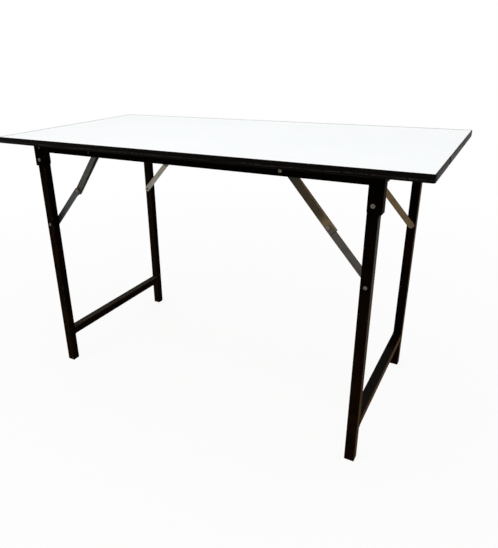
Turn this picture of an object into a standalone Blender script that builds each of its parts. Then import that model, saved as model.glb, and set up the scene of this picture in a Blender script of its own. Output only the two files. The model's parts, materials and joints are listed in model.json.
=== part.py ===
# Folding table: a white laminate board with a black edge strip on a steel tube frame. Two H-shaped leg
# sets swing inward under the board and are held upright by four jointed stays.
# Lengths are in metres, the floor is z = 0, X runs along the table and the front is at -Y.
import math

import bmesh
import bpy
from mathutils import Matrix, Vector

# Board
TABLE_LENGTH = 1.200
TABLE_WIDTH = 0.600
TABLE_HEIGHT = 0.750
CORE_THICKNESS = 0.0158
LAMINATE_THICKNESS = 0.0009
BOARD_CORNER_RADIUS = 0.005

# Edge strip: its tongue sits in a groove that is milled round the core
BAND_THICKNESS = 0.0022
TONGUE_DEPTH = 0.0070
TONGUE_THICKNESS = 0.0016
SEAM_WIDTH = 0.0004
SEAM_FROM_FRONT = 0.178

# Clearances
SEAT_GAP = 0.0003
HOLE_GAP = 0.0003
CHEEK_GAP = 0.0004
SWING_GAP = 0.0005
CUT_OVERRUN = 0.0020

# Square tube of the frame and the legs
TUBE_SIZE = 0.025
TUBE_WALL = 0.0012
TUBE_CORNER = 0.0018
LEG_END_INSET = 0.116
LEG_SIDE_INSET = 0.055
CROSSBAR_HEIGHT = 0.104

# Pivot brackets: the left set folds first, so its pivots are higher
LEFT_PIVOT_DROP = 0.0475
RIGHT_PIVOT_DROP = 0.0665
LEG_OVER_PIVOT = 0.0100
BRACKET_BELOW_PIVOT = 0.0180
BRACKET_SHEET = 0.0020
BRACKET_BEND = 0.0030

# Stays: each is a flanged upper link on the rail and a flat lower link on the leg
LEFT_ANCHOR_RUN = 0.197
RIGHT_ANCHOR_RUN = 0.207
LEFT_STAY_REACH = 0.1995
RIGHT_STAY_REACH = 0.1845
LEFT_JOINT_SHARE = 0.508
RIGHT_JOINT_SHARE = 0.517
LEFT_LOCK_OFFSET = 0.0080
RIGHT_LOCK_OFFSET = 0.0010
UPPER_WIDTH = 0.016
LOWER_WIDTH = 0.0185
UPPER_SHEET = 0.0016
LOWER_SHEET = 0.0025
FLANGE_DEPTH = 0.0080
FLANGE_OFFSET = 0.0100
STOP_OVERHANG = 0.0175
STAND_OFF = 0.0032

# Rivets: shank and head radii, and the height of the domed head
PIVOT_SHANK = 0.0040
PIVOT_HEAD = 0.0053
PIVOT_DOME = 0.0028
STAY_SHANK = 0.0030
STAY_HEAD = 0.0048
STAY_DOME = 0.0026
LOW_DOME = 0.0021
COLLAR = 0.0065
BLIND_SHANK = 0.0020
BLIND_HEAD = 0.0034
BLIND_DOME = 0.0012
BLIND_TAIL = 0.0028
BLIND_TAIL_LENGTH = 0.0060
BLIND_INSET = 0.0235

# Wood screws that hold the rails to the board
SCREW_SHANK = 0.0021
SCREW_HEAD = 0.0045
SCREW_DOME = 0.0024
SCREW_BITE = 0.0120
SCREW_POINT = 0.0040
SCREW_SPREAD_SHARES = {"left": -0.36, "middle": 0.0, "right": 0.36}

# Foot plugs
PLUG_DEPTH = 0.016
PLUG_WALL = 0.0025
PLUG_BASE = 0.0030

# Facets
CORNER_STEPS = 2
END_STEPS = 6
HOLE_SIDES = 12
RIVET_SIDES = 12
DOME_STEPS = 2
MERGE = 0.00001
SMOOTH_ANGLE = math.radians(35)

# Worked out from the sizes above
BOARD_THICKNESS = CORE_THICKNESS + SEAT_GAP + LAMINATE_THICKNESS
BOARD_BOTTOM = TABLE_HEIGHT - BOARD_THICKNESS
HALF_TUBE = TUBE_SIZE / 2
LEG_X = TABLE_LENGTH / 2 - LEG_END_INSET
LEG_Y = TABLE_WIDTH / 2 - LEG_SIDE_INSET
RAIL_TOP = BOARD_BOTTOM - SEAT_GAP
RAIL_Z = RAIL_TOP - HALF_TUBE
WEB_INSIDE = LEG_X + math.hypot(HALF_TUBE, LEG_OVER_PIVOT) + SWING_GAP
WEB_OUTSIDE = WEB_INSIDE + BRACKET_SHEET
CHEEK_EDGE = LEG_X - HALF_TUBE
CHEEK_INSIDE = HALF_TUBE + CHEEK_GAP
CHEEK_OUTSIDE = CHEEK_INSIDE + BRACKET_SHEET
RAIL_HALF = WEB_INSIDE - SEAT_GAP

# The stays' layers, measured from the middle plane of a leg towards the middle of the table
STAY_NEAR = HALF_TUBE + STAND_OFF
STAY_FAR = STAY_NEAR + UPPER_SHEET + SEAT_GAP + LOWER_SHEET
UPPER_NEAR = {"left": STAY_FAR - UPPER_SHEET, "right": STAY_NEAR}
LOWER_NEAR = {"left": STAY_NEAR, "right": STAY_FAR - LOWER_SHEET}

SIDES = {"left": -1, "right": 1}
ROWS = {"front": -1, "back": 1}
PIVOT_DROP = {"left": LEFT_PIVOT_DROP, "right": RIGHT_PIVOT_DROP}
ANCHOR_RUN = {"left": LEFT_ANCHOR_RUN, "right": RIGHT_ANCHOR_RUN}
STAY_REACH = {"left": LEFT_STAY_REACH, "right": RIGHT_STAY_REACH}
JOINT_SHARE = {"left": LEFT_JOINT_SHARE, "right": RIGHT_JOINT_SHARE}
LOCK_OFFSET = {"left": LEFT_LOCK_OFFSET, "right": RIGHT_LOCK_OFFSET}


# Places of one set's pivots in the XZ plane, for the side at +X
def pivot_height(side):
    return BOARD_BOTTOM - PIVOT_DROP[side]


def stay_points(side):
    anchor = Vector((LEG_X - ANCHOR_RUN[side], RAIL_Z))
    leg_pin = Vector((LEG_X, pivot_height(side) - STAY_REACH[side]))
    along = (leg_pin - anchor).normalized()
    inward = Vector((along.y, -along.x))
    joint = anchor.lerp(leg_pin, JOINT_SHARE[side]) + inward * LOCK_OFFSET[side]
    return anchor, joint, leg_pin


# Scene helpers
def clear_objects():
    for item in list(bpy.data.objects):
        bpy.data.objects.remove(item, do_unlink=True)


def make_collection(name):
    collection = bpy.data.collections.new(name)
    bpy.context.scene.collection.children.link(collection)
    return collection


def make_material(name, colour, roughness, metallic):
    material = bpy.data.materials.new(name)
    material.use_nodes = True
    shader = material.node_tree.nodes["Principled BSDF"]
    shader.inputs["Base Color"].default_value = (*colour, 1.0)
    shader.inputs["Roughness"].default_value = roughness
    shader.inputs["Metallic"].default_value = metallic
    material.diffuse_color = (*colour, 1.0)
    return material


def make_object(name, mesh, collection, material=None):
    item = bpy.data.objects.new(name, mesh)
    collection.objects.link(item)
    if material:
        mesh.materials.clear()
        mesh.materials.append(material)
    return item


def make_axis(name, x, z):
    axis = bpy.data.objects.new(name, None)
    axis.location = (x, 0, z)
    parts.objects.link(axis)
    return axis


# Hangs a piece on a holder and leaves it where it stands
def hang_on(item, holder):
    item.parent = holder
    item.matrix_parent_inverse = holder.matrix_basis.inverted()


# Meshes
def evaluated_mesh(item):
    graph = bpy.context.evaluated_depsgraph_get()
    mesh = bpy.data.meshes.new_from_object(item.evaluated_get(graph))
    bpy.data.objects.remove(item, do_unlink=True)
    return mesh


def weld(mesh):
    shape = bmesh.new()
    shape.from_mesh(mesh)
    bmesh.ops.remove_doubles(shape, verts=shape.verts, dist=MERGE)
    bmesh.ops.recalc_face_normals(shape, faces=shape.faces)
    shape.to_mesh(mesh)
    shape.free()
    return mesh


# A flat outline in XY, with holes as further outlines, thickened along Z about z = 0
def outline_mesh(name, outlines, thickness):
    curve = bpy.data.curves.new(name, "CURVE")
    curve.dimensions = "2D"
    curve.fill_mode = "BOTH"
    curve.extrude = thickness / 2
    for outline in outlines:
        spline = curve.splines.new("POLY")
        spline.points.add(len(outline) - 1)
        for point, (x, y) in zip(spline.points, outline):
            point.co = (x, y, 0, 1)
        spline.use_cyclic_u = True
    guide = bpy.data.objects.new(name, curve)
    parts.objects.link(guide)
    return weld(evaluated_mesh(guide))


def rounded_rectangle(width, height, radius):
    if radius <= 0:
        return [(sx * width / 2, sy * height / 2) for sx, sy in ((1, 1), (-1, 1), (-1, -1), (1, -1))]
    points = []
    for quarter, (sx, sy) in enumerate(((1, 1), (-1, 1), (-1, -1), (1, -1))):
        centre_x = sx * (width / 2 - radius)
        centre_y = sy * (height / 2 - radius)
        for step in range(CORNER_STEPS + 1):
            angle = math.pi / 2 * (quarter + step / CORNER_STEPS)
            points.append((centre_x + radius * math.cos(angle), centre_y + radius * math.sin(angle)))
    return points


# A profile of (radius, height) points turned about Z, listed from the top down the outer side
def turned_mesh(name, profile):
    mesh = bpy.data.meshes.new(name)
    mesh.from_pydata([(r, 0, z) for r, z in profile], [(i, i + 1) for i in range(len(profile) - 1)], [])
    guide = bpy.data.objects.new(name, mesh)
    parts.objects.link(guide)
    turn = guide.modifiers.new("turn", "SCREW")
    turn.axis = "Z"
    turn.steps = RIVET_SIDES
    turn.render_steps = RIVET_SIDES
    turn.use_merge_vertices = True
    turn.merge_threshold = MERGE
    result = evaluated_mesh(guide)
    bpy.data.meshes.remove(mesh)
    return weld(result)


def dome(radius, height, base, direction):
    points = []
    for step in range(DOME_STEPS + 1):
        angle = math.pi / 2 * step / DOME_STEPS
        points.append((radius * math.sin(angle), base + direction * height * math.cos(angle)))
    return points


# A rivet along Z whose shank runs from z = 0 to z = length. A dome of no height leaves that end bare, and
# the collar is a stretch of larger radius between two heights.
def rivet_profile(shank, length, head, bottom_dome, top_dome, collar=None):
    profile = dome(head, top_dome, length, 1) if top_dome else [(0, length)]
    profile.append((shank, length))
    if collar:
        bottom, top = collar
        profile += [(shank, top), (COLLAR, top), (COLLAR, bottom), (shank, bottom)]
    profile.append((shank, 0))
    return profile + (dome(head, bottom_dome, 0, -1)[::-1] if bottom_dome else [(0, 0)])


def make_turned(name, profile, place, material):
    mesh = turned_mesh(name, profile)
    mesh.shade_smooth()
    mesh.set_sharp_from_angle(angle=SMOOTH_ANGLE)
    item = make_object(name, mesh, parts, material)
    item.matrix_basis = place
    return item


# A place for a piece that stands along Z, turned so that it points from the front row's outside inward
def inward_place(x, y, z, row):
    turn = Matrix.Rotation(math.radians(90 * row), 4, "X")
    return Matrix.Translation((x, y, z)) @ turn


# Cutters
def add_holes(shape, places, radius, length):
    for place in places:
        sizes = {"radius1": radius, "radius2": radius, "depth": length}
        bmesh.ops.create_cone(shape, cap_ends=True, segments=HOLE_SIDES, matrix=place, **sizes)


# One cutter for groups of holes, each a list of places, a radius and a length
def bolt_holes(name, *groups):
    shape = bmesh.new()
    for places, radius, length in groups:
        add_holes(shape, places, radius, length)
    mesh = bpy.data.meshes.new(name)
    shape.to_mesh(mesh)
    shape.free()
    return make_cutter(name, mesh)


def block(name, centre, size):
    shape = bmesh.new()
    place = Matrix.Translation(centre) @ Matrix.Diagonal((*size, 1))
    bmesh.ops.create_cube(shape, size=1, matrix=place)
    mesh = bpy.data.meshes.new(name)
    shape.to_mesh(mesh)
    shape.free()
    return make_cutter(name, mesh)


def make_cutter(name, mesh):
    cutter = make_object(name, mesh, cutters)
    cutter.hide_render = True
    cutter.display_type = "WIRE"
    return cutter


def combine(item, tool, operation):
    step = item.modifiers.new(tool.name, "BOOLEAN")
    step.operation = operation
    step.solver = "EXACT"
    step.object = tool


def cut(item, tool):
    combine(item, tool, "DIFFERENCE")


# Steel tube, its length along Z before it is turned
def tube_mesh(name, length):
    bore = TUBE_SIZE - 2 * TUBE_WALL
    outside = rounded_rectangle(TUBE_SIZE, TUBE_SIZE, TUBE_CORNER)
    inside = rounded_rectangle(bore, bore, TUBE_CORNER - TUBE_WALL)
    return outline_mesh(name, (outside, inside), length)


def make_tube(name, length, centre, turn, material):
    item = make_object(name, tube_mesh(name, length), parts, material)
    item.location = centre
    item.rotation_euler = turn
    return item


ALONG_X = (0, math.pi / 2, 0)
ALONG_Y = (math.pi / 2, 0, 0)
ALONG_Z = (0, 0, 0)


# Board
def ring_tool(name, outer, inner, radius, height, z):
    inner_radius = radius - (outer[0] - inner[0]) / 2
    outlines = (rounded_rectangle(*outer, radius), rounded_rectangle(*inner, inner_radius))
    tool = make_cutter(name, outline_mesh(name, outlines, height))
    tool.location = (0, 0, z)
    return tool


def make_board():
    core_z = BOARD_BOTTOM + CORE_THICKNESS / 2
    core_inset = BAND_THICKNESS + SEAT_GAP
    core_size = (TABLE_LENGTH - 2 * core_inset, TABLE_WIDTH - 2 * core_inset)
    face_outline = rounded_rectangle(*core_size, BOARD_CORNER_RADIUS - core_inset)
    core_mesh = outline_mesh("board_core", (face_outline,), CORE_THICKNESS)
    core = make_object("board_core", core_mesh, parts, chipboard)
    core.location.z = core_z
    laminate_mesh = outline_mesh("top_laminate", (face_outline,), LAMINATE_THICKNESS)
    laminate = make_object("top_laminate", laminate_mesh, parts, white_laminate)
    laminate.location.z = TABLE_HEIGHT - LAMINATE_THICKNESS / 2

    # The strip stands from the board's underside to its face
    inner_size = (TABLE_LENGTH - 2 * BAND_THICKNESS, TABLE_WIDTH - 2 * BAND_THICKNESS)
    inner_radius = BOARD_CORNER_RADIUS - BAND_THICKNESS
    outer_outline = rounded_rectangle(TABLE_LENGTH, TABLE_WIDTH, BOARD_CORNER_RADIUS)
    inner_outline = rounded_rectangle(*inner_size, inner_radius)
    band_mesh = outline_mesh("edge_band", (outer_outline, inner_outline), BOARD_THICKNESS)
    band = make_object("edge_band", band_mesh, parts, black_plastic)
    band.location.z = BOARD_BOTTOM + BOARD_THICKNESS / 2

    # The tongue overlaps the strip by half the strip's thickness and the groove clears the tongue
    reach = BAND_THICKNESS + TONGUE_DEPTH
    tongue_outer = (TABLE_LENGTH - BAND_THICKNESS, TABLE_WIDTH - BAND_THICKNESS)
    tongue_inner = (TABLE_LENGTH - 2 * reach, TABLE_WIDTH - 2 * reach)
    tongue_corner = BOARD_CORNER_RADIUS - BAND_THICKNESS / 2
    tongue = ring_tool("tongue_tool", tongue_outer, tongue_inner, tongue_corner, TONGUE_THICKNESS, core_z)
    combine(band, tongue, "UNION")
    groove_outer = (TABLE_LENGTH + 2 * CUT_OVERRUN, TABLE_WIDTH + 2 * CUT_OVERRUN)
    groove_inner = (tongue_inner[0] - 2 * SEAT_GAP, tongue_inner[1] - 2 * SEAT_GAP)
    groove_height = TONGUE_THICKNESS + 2 * SEAT_GAP
    groove = ring_tool("groove_tool", groove_outer, groove_inner, BOARD_CORNER_RADIUS, groove_height, core_z)
    cut(core, groove)

    # The strip's ends meet on the right end of the table
    seam_centre = (TABLE_LENGTH / 2, SEAM_FROM_FRONT - TABLE_WIDTH / 2, TABLE_HEIGHT - BOARD_THICKNESS / 2)
    seam_size = (2 * (reach + CUT_OVERRUN), SEAM_WIDTH, BOARD_THICKNESS + 2 * CUT_OVERRUN)
    cut(band, block("seam_tool", seam_centre, seam_size))

    pilots = [Matrix.Translation((x, y, BOARD_BOTTOM)) for x, y in screw_places().values()]
    cut(core, bolt_holes("pilot_tool", (pilots, SCREW_SHANK + HOLE_GAP, 2 * (SCREW_BITE + HOLE_GAP))))


def screw_places():
    return {
        row + "_" + spot: (share * TABLE_LENGTH, ry * LEG_Y)
        for row, ry in ROWS.items()
        for spot, share in SCREW_SPREAD_SHARES.items()
    }


def make_screws():
    head_z = RAIL_Z - HALF_TUBE - SEAT_GAP
    length = BOARD_BOTTOM + SCREW_BITE - head_z
    profile = [(0, length), (SCREW_SHANK, length - SCREW_POINT), (SCREW_SHANK, 0)]
    profile += dome(SCREW_HEAD, SCREW_DOME, 0, -1)[::-1]
    for spot, (x, y) in screw_places().items():
        make_turned("top_screw_" + spot, profile, Matrix.Translation((x, y, head_z)), zinc)


# Frame
def make_rails():
    through = TUBE_SIZE + 2 * CUT_OVERRUN
    for row, ry in ROWS.items():
        name = "rail_" + row
        y = ry * LEG_Y
        rail = make_tube(name, 2 * RAIL_HALF, (0, y, RAIL_Z), ALONG_X, black_steel)
        screw_spots = [
            Matrix.Translation((share * TABLE_LENGTH, y, RAIL_Z)) for share in SCREW_SPREAD_SHARES.values()
        ]
        stay_spots = [inward_place(sx * stay_points(side)[0].x, y, RAIL_Z, ry) for side, sx in SIDES.items()]
        blind_x = WEB_OUTSIDE - BLIND_INSET
        blind_spots = [inward_place(sx * blind_x, y + ry * HALF_TUBE, RAIL_Z, ry) for sx in SIDES.values()]
        holes = bolt_holes(
            name + "_hole_tool",
            (screw_spots, SCREW_SHANK + HOLE_GAP, through),
            (stay_spots, STAY_SHANK + HOLE_GAP, through),
            (blind_spots, BLIND_SHANK + HOLE_GAP, 2 * (TUBE_WALL + CUT_OVERRUN)),
        )
        cut(rail, holes)


def make_end_rails():
    length = 2 * (LEG_Y - CHEEK_OUTSIDE - SEAT_GAP)
    x = (CHEEK_EDGE + WEB_OUTSIDE) / 2
    for side, sx in SIDES.items():
        make_tube("end_rail_" + side, length, (sx * x, 0, RAIL_Z), ALONG_Y, black_steel)


# Plan of a bracket for the side at +X: a channel whose web is outside and whose mouth faces the table's
# middle
def bracket_outline():
    points = [(CHEEK_EDGE, CHEEK_INSIDE), (CHEEK_EDGE, CHEEK_OUTSIDE)]
    for quarter, sy in ((0, 1), (-1, -1)):
        corner = (WEB_OUTSIDE - BRACKET_BEND, sy * (CHEEK_OUTSIDE - BRACKET_BEND))
        for step in range(CORNER_STEPS + 1):
            angle = math.pi / 2 * (quarter + (CORNER_STEPS - step) / CORNER_STEPS)
            bend = Vector((math.cos(angle), math.sin(angle))) * BRACKET_BEND
            points.append((corner[0] + bend.x, corner[1] + bend.y))
    points += [(CHEEK_EDGE, -CHEEK_OUTSIDE), (CHEEK_EDGE, -CHEEK_INSIDE)]
    return points + [(WEB_INSIDE, -CHEEK_INSIDE), (WEB_INSIDE, CHEEK_INSIDE)]


def make_brackets():
    outline = bracket_outline()
    for side, sx in SIDES.items():
        bottom = pivot_height(side) - BRACKET_BELOW_PIVOT
        height = RAIL_TOP - bottom
        for row, ry in ROWS.items():
            name = "bracket_" + side + "_" + row
            y = ry * LEG_Y
            mesh = outline_mesh(name, ([(sx * px, py) for px, py in outline],), height)
            bracket = make_object(name, mesh, parts, black_steel)
            bracket.location = (0, y, bottom + height / 2)
            pivot_spot = [inward_place(sx * LEG_X, y, pivot_height(side), ry)]
            blind_spot = [inward_place(sx * (WEB_OUTSIDE - BLIND_INSET), y + ry * CHEEK_OUTSIDE, RAIL_Z, ry)]
            holes = bolt_holes(
                name + "_hole_tool",
                (pivot_spot, PIVOT_SHANK + HOLE_GAP, 2 * (CHEEK_OUTSIDE + CUT_OVERRUN)),
                (blind_spot, BLIND_SHANK + HOLE_GAP, BRACKET_SHEET + 2 * CUT_OVERRUN),
            )
            cut(bracket, holes)


# A blind rivet holds a bracket's outer cheek on the rail, with its tail inside the tube
def make_blind_rivets():
    grip = CHEEK_OUTSIDE - HALF_TUBE + TUBE_WALL + 2 * SEAT_GAP
    profile = [(0, grip + BLIND_TAIL_LENGTH), (BLIND_TAIL, grip + BLIND_TAIL_LENGTH / 2), (BLIND_TAIL, grip)]
    profile += [(BLIND_SHANK, grip), (BLIND_SHANK, 0)] + dome(BLIND_HEAD, BLIND_DOME, 0, -1)[::-1]
    for side, sx in SIDES.items():
        for row, ry in ROWS.items():
            outside = ry * (LEG_Y + CHEEK_OUTSIDE + SEAT_GAP)
            place = inward_place(sx * (WEB_OUTSIDE - BLIND_INSET), outside, RAIL_Z, ry)
            make_turned("bracket_rivet_" + side + "_" + row, profile, place, black_steel)


def make_pivot_rivets():
    length = 2 * (CHEEK_OUTSIDE + SEAT_GAP)
    profile = rivet_profile(PIVOT_SHANK, length, PIVOT_HEAD, PIVOT_DOME, LOW_DOME)
    for side, sx in SIDES.items():
        for row, ry in ROWS.items():
            outside = ry * (LEG_Y + CHEEK_OUTSIDE + SEAT_GAP)
            place = inward_place(sx * LEG_X, outside, pivot_height(side), ry)
            make_turned("pivot_rivet_" + side + "_" + row, profile, place, zinc)


# Shoulder rivets carry the stays on the rails: the collar keeps the upper link off the tube
def make_rail_stay_rivets():
    start = HALF_TUBE + SEAT_GAP
    for side, sx in SIDES.items():
        length = start + UPPER_NEAR[side] + UPPER_SHEET + SEAT_GAP
        collar = (start + HALF_TUBE + SEAT_GAP, start + UPPER_NEAR[side] - SEAT_GAP)
        profile = rivet_profile(STAY_SHANK, length, STAY_HEAD, STAY_DOME, LOW_DOME, collar)
        for row, ry in ROWS.items():
            place = inward_place(sx * stay_points(side)[0].x, ry * (LEG_Y + start), RAIL_Z, ry)
            make_turned("rail_stay_rivet_" + side + "_" + row, profile, place, zinc)


# Leg sets
def make_leg_set(side):
    sx = SIDES[side]
    pivot_z = pivot_height(side)
    leg_top = pivot_z + LEG_OVER_PIVOT
    pin_z = stay_points(side)[2].y
    axis = make_axis(side + "_leg_axis", sx * LEG_X, pivot_z)
    through = TUBE_SIZE + 2 * CUT_OVERRUN

    # The collar of a leg's shoulder rivet keeps the lower link off the tube
    start = HALF_TUBE + SEAT_GAP
    length = start + LOWER_NEAR[side] - SEAT_GAP
    collar = (start + HALF_TUBE + SEAT_GAP, length)
    rivet = rivet_profile(STAY_SHANK, length, STAY_HEAD, STAY_DOME, 0, collar)
    for row, ry in ROWS.items():
        name = side + "_leg_" + row
        y = ry * LEG_Y
        leg = make_tube(name, leg_top, (sx * LEG_X, y, leg_top / 2), ALONG_Z, black_steel)
        pivot_spot = [inward_place(sx * LEG_X, y, pivot_z, ry)]
        pin_spot = [inward_place(sx * LEG_X, y, pin_z, ry)]
        holes = bolt_holes(
            name + "_hole_tool",
            (pivot_spot, PIVOT_SHANK + HOLE_GAP, through),
            (pin_spot, STAY_SHANK + HOLE_GAP, through),
        )
        cut(leg, holes)
        hang_on(leg, axis)
        hang_on(make_plug(side + "_foot_plug_" + row, sx * LEG_X, y), axis)
        place = inward_place(sx * LEG_X, ry * (LEG_Y + start), pin_z, ry)
        hang_on(make_turned(side + "_leg_stay_rivet_" + row, rivet, place, zinc), axis)

    bar_length = 2 * (LEG_Y - HALF_TUBE - SEAT_GAP)
    bar = make_tube(side + "_crossbar", bar_length, (sx * LEG_X, 0, CROSSBAR_HEIGHT), ALONG_Y, black_steel)
    hang_on(bar, axis)


# A cup that closes a leg's lower end, its flat base down
def make_plug(name, x, y):
    width = TUBE_SIZE - 2 * (TUBE_WALL + SEAT_GAP)
    corner = TUBE_CORNER - TUBE_WALL
    plug = make_object(
        name, outline_mesh(name, (rounded_rectangle(width, width, corner),), PLUG_DEPTH), parts, black_plastic
    )
    plug.location = (x, y, PLUG_DEPTH / 2)
    hollow = width - 2 * PLUG_WALL
    top = PLUG_DEPTH + CUT_OVERRUN
    cut(plug, block(name + "_tool", (x, y, (PLUG_BASE + top) / 2), (hollow, hollow, top - PLUG_BASE)))
    return plug


# Stays
def arc(centre_x, centre_y, radius, start):
    angles = [start + math.pi * step / END_STEPS for step in range(END_STEPS + 1)]
    return [(centre_x + radius * math.cos(angle), centre_y + radius * math.sin(angle)) for angle in angles]


# An angle section along +X whose flange stands at +Y and points inward, trimmed round at the first hole and
# square past the second. One hand of it serves both ends of a row, so the flange is above on the right stay
# and below on the left one, where the lower link lies on the plate's outer side.
def make_upper_link(name, length, ry):
    low = -UPPER_WIDTH / 2
    high = FLANGE_OFFSET + UPPER_SHEET
    half = UPPER_SHEET / 2
    tip = FLANGE_DEPTH - half
    section = [(low, -half), (high, -half), (high, tip)]
    section += [(FLANGE_OFFSET, tip), (FLANGE_OFFSET, half), (low, half)]
    far = length + STOP_OVERHANG
    near = (low - high) / 2 - CUT_OVERRUN
    mesh = outline_mesh(name, ([(y, ry * z) for y, z in section],), far - near)
    along_x = Matrix.Rotation(math.radians(120), 4, (1, 1, 1))
    mesh.transform(Matrix.Translation(((far + near) / 2, 0, 0)) @ along_x)
    link = make_object(name, mesh, parts, zinc)

    outer = far + CUT_OVERRUN
    bottom = low - CUT_OVERRUN
    top = high + CUT_OVERRUN
    plan = [(0, bottom), (outer, bottom), (outer, top), (0, top)]
    plan += arc(0, (high + low) / 2, (high - low) / 2, math.pi / 2)
    plan_mesh = outline_mesh(name + "_plan_tool", (plan,), 3 * FLANGE_DEPTH)
    plan_tool = make_cutter(name + "_plan_tool", plan_mesh)
    combine(link, plan_tool, "INTERSECT")
    return link, plan_tool


def lower_link_outline(length):
    return arc(length, 0, LOWER_WIDTH / 2, -math.pi / 2) + arc(0, 0, LOWER_WIDTH / 2, math.pi / 2)


# Stands a flat link that lies in XY along +X upright in the XZ plane, along a direction
def link_turn(direction):
    return (math.pi / 2, -math.atan2(direction.y, direction.x), 0)


def make_stay(side, row):
    hand = SIDES[side]
    ry = ROWS[row]
    name = side + "_" + row
    anchor, joint, pin = (Vector((hand * point.x, point.y)) for point in stay_points(side))
    hole = STAY_SHANK + HOLE_GAP

    upper_y = ry * (LEG_Y - UPPER_NEAR[side] - UPPER_SHEET / 2)
    upper, plan_tool = make_upper_link(name + "_upper_link", (joint - anchor).length, ry)
    for item in (upper, plan_tool):
        item.location = (anchor.x, upper_y, anchor.y)
        item.rotation_euler = link_turn(joint - anchor)
    upper_spots = [inward_place(spot.x, upper_y, spot.y, ry) for spot in (anchor, joint)]
    cut(upper, bolt_holes(name + "_upper_tool", (upper_spots, hole, UPPER_SHEET + 2 * CUT_OVERRUN)))

    lower_y = ry * (LEG_Y - LOWER_NEAR[side] - LOWER_SHEET / 2)
    lower_mesh = outline_mesh(name + "_lower_link", (lower_link_outline((pin - joint).length),), LOWER_SHEET)
    lower = make_object(name + "_lower_link", lower_mesh, parts, zinc)
    lower.location = (joint.x, lower_y, joint.y)
    lower.rotation_euler = link_turn(pin - joint)
    lower_spots = [inward_place(spot.x, lower_y, spot.y, ry) for spot in (joint, pin)]
    cut(lower, bolt_holes(name + "_lower_tool", (lower_spots, hole, LOWER_SHEET + 2 * CUT_OVERRUN)))

    # The joint's rivet holds both links, and the tail of the leg's rivet sits in the lower link
    joint_length = STAY_FAR - STAY_NEAR + 2 * SEAT_GAP
    profile = rivet_profile(STAY_SHANK, joint_length, STAY_HEAD, LOW_DOME, LOW_DOME)
    place = inward_place(joint.x, ry * (LEG_Y - STAY_NEAR + SEAT_GAP), joint.y, ry)
    hang_on(make_turned(name + "_joint_rivet", profile, place, zinc), upper)
    profile = rivet_profile(STAY_SHANK, LOWER_SHEET + SEAT_GAP, STAY_HEAD, 0, LOW_DOME)
    place = inward_place(pin.x, ry * (LEG_Y - LOWER_NEAR[side]), pin.y, ry)
    hang_on(make_turned(name + "_rivet_tail", profile, place, zinc), lower)


clear_objects()
parts = make_collection("folding_table")
cutters = make_collection("cutters")
chipboard = make_material("chipboard", (0.42, 0.31, 0.20), 0.80, 0.0)
white_laminate = make_material("white_laminate", (0.90, 0.92, 0.92), 0.30, 0.0)
black_plastic = make_material("black_plastic", (0.012, 0.011, 0.010), 0.45, 0.0)
black_steel = make_material("black_steel", (0.012, 0.009, 0.007), 0.45, 0.0)
zinc = make_material("zinc", (0.34, 0.32, 0.29), 0.42, 0.8)

make_board()
make_screws()
make_rails()
make_end_rails()
make_brackets()
make_blind_rivets()
make_pivot_rivets()
make_rail_stay_rivets()
for set_side in SIDES:
    make_leg_set(set_side)
    for set_row in ROWS:
        make_stay(set_side, set_row)
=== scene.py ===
# Folding multipurpose table: white laminate board, black tube frame, folding leg sets and jointed stays
import json
import math

import bmesh
import bpy
from mathutils import Euler, Matrix, Vector


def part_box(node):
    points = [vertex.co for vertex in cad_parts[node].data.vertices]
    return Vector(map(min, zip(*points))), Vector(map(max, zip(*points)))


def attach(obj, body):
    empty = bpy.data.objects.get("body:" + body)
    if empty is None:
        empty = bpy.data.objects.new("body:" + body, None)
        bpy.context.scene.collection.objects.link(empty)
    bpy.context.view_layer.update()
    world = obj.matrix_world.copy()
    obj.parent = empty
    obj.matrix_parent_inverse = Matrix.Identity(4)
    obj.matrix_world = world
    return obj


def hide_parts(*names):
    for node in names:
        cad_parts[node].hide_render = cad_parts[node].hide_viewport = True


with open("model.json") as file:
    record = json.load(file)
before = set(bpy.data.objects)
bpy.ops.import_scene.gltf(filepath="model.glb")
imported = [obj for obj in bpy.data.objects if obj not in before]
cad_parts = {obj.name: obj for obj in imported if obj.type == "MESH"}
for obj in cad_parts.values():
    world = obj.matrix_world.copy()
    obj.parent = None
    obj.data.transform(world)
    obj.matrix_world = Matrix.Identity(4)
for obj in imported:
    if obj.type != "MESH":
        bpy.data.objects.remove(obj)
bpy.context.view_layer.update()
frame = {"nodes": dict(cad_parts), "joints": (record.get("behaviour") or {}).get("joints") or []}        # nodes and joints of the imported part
print("frame loaded,", len(frame["nodes"]), "CAD nodes")

mm = 0.001
sides = {"left": -1, "right": 1}
rows = {"front": -1, "back": 1}
cornerSigns = ((1, 1), (-1, 1), (-1, -1), (1, -1))     # of a rectangle, counter-clockwise
joints = {joint["name"]: joint for joint in frame["joints"]}
relief = 0.1 * mm        # depth of the fine bumps in most finishes
mergeReach = {"strip": 0.01 * mm, "turned": 0.01 * mm, "grown": 0.005 * mm}    # closer points become one
sharpAngle = math.radians(35)      # edges that bend more are shaded as sharp
bevelAngle = math.radians(50)      # edges that bend more are softened with a bevel
axisRadius = 0.002 * mm            # of the circle that a turned body's outline is swept round, next to nothing


# Node helpers, for material trees and geometry trees alike
def addNode(tree, kind, inputs=None, **settings):
    node = tree.nodes.new(kind)
    for setting, value in settings.items():
        setattr(node, setting, value)
    for socket, value in (inputs or {}).items():
        if isinstance(value, bpy.types.NodeSocket):
            tree.links.new(value, node.inputs[socket])
        else:
            node.inputs[socket].default_value = value
    return node


def result(tree, kind, inputs=None, **settings):       # what a new node gives out first
    return addNode(tree, kind, inputs, **settings).outputs[0]


def treeOf(*values):       # the tree of the first socket among some values
    return next(value.id_data for value in values if isinstance(value, bpy.types.NodeSocket))


def calc(operation, first, second=0.0):
    return result(treeOf(first, second), "ShaderNodeMath", {0: first, 1: second}, operation=operation)


def times(first, *others):
    for other in others:
        first = calc("MULTIPLY", first, other)
    return first


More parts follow.
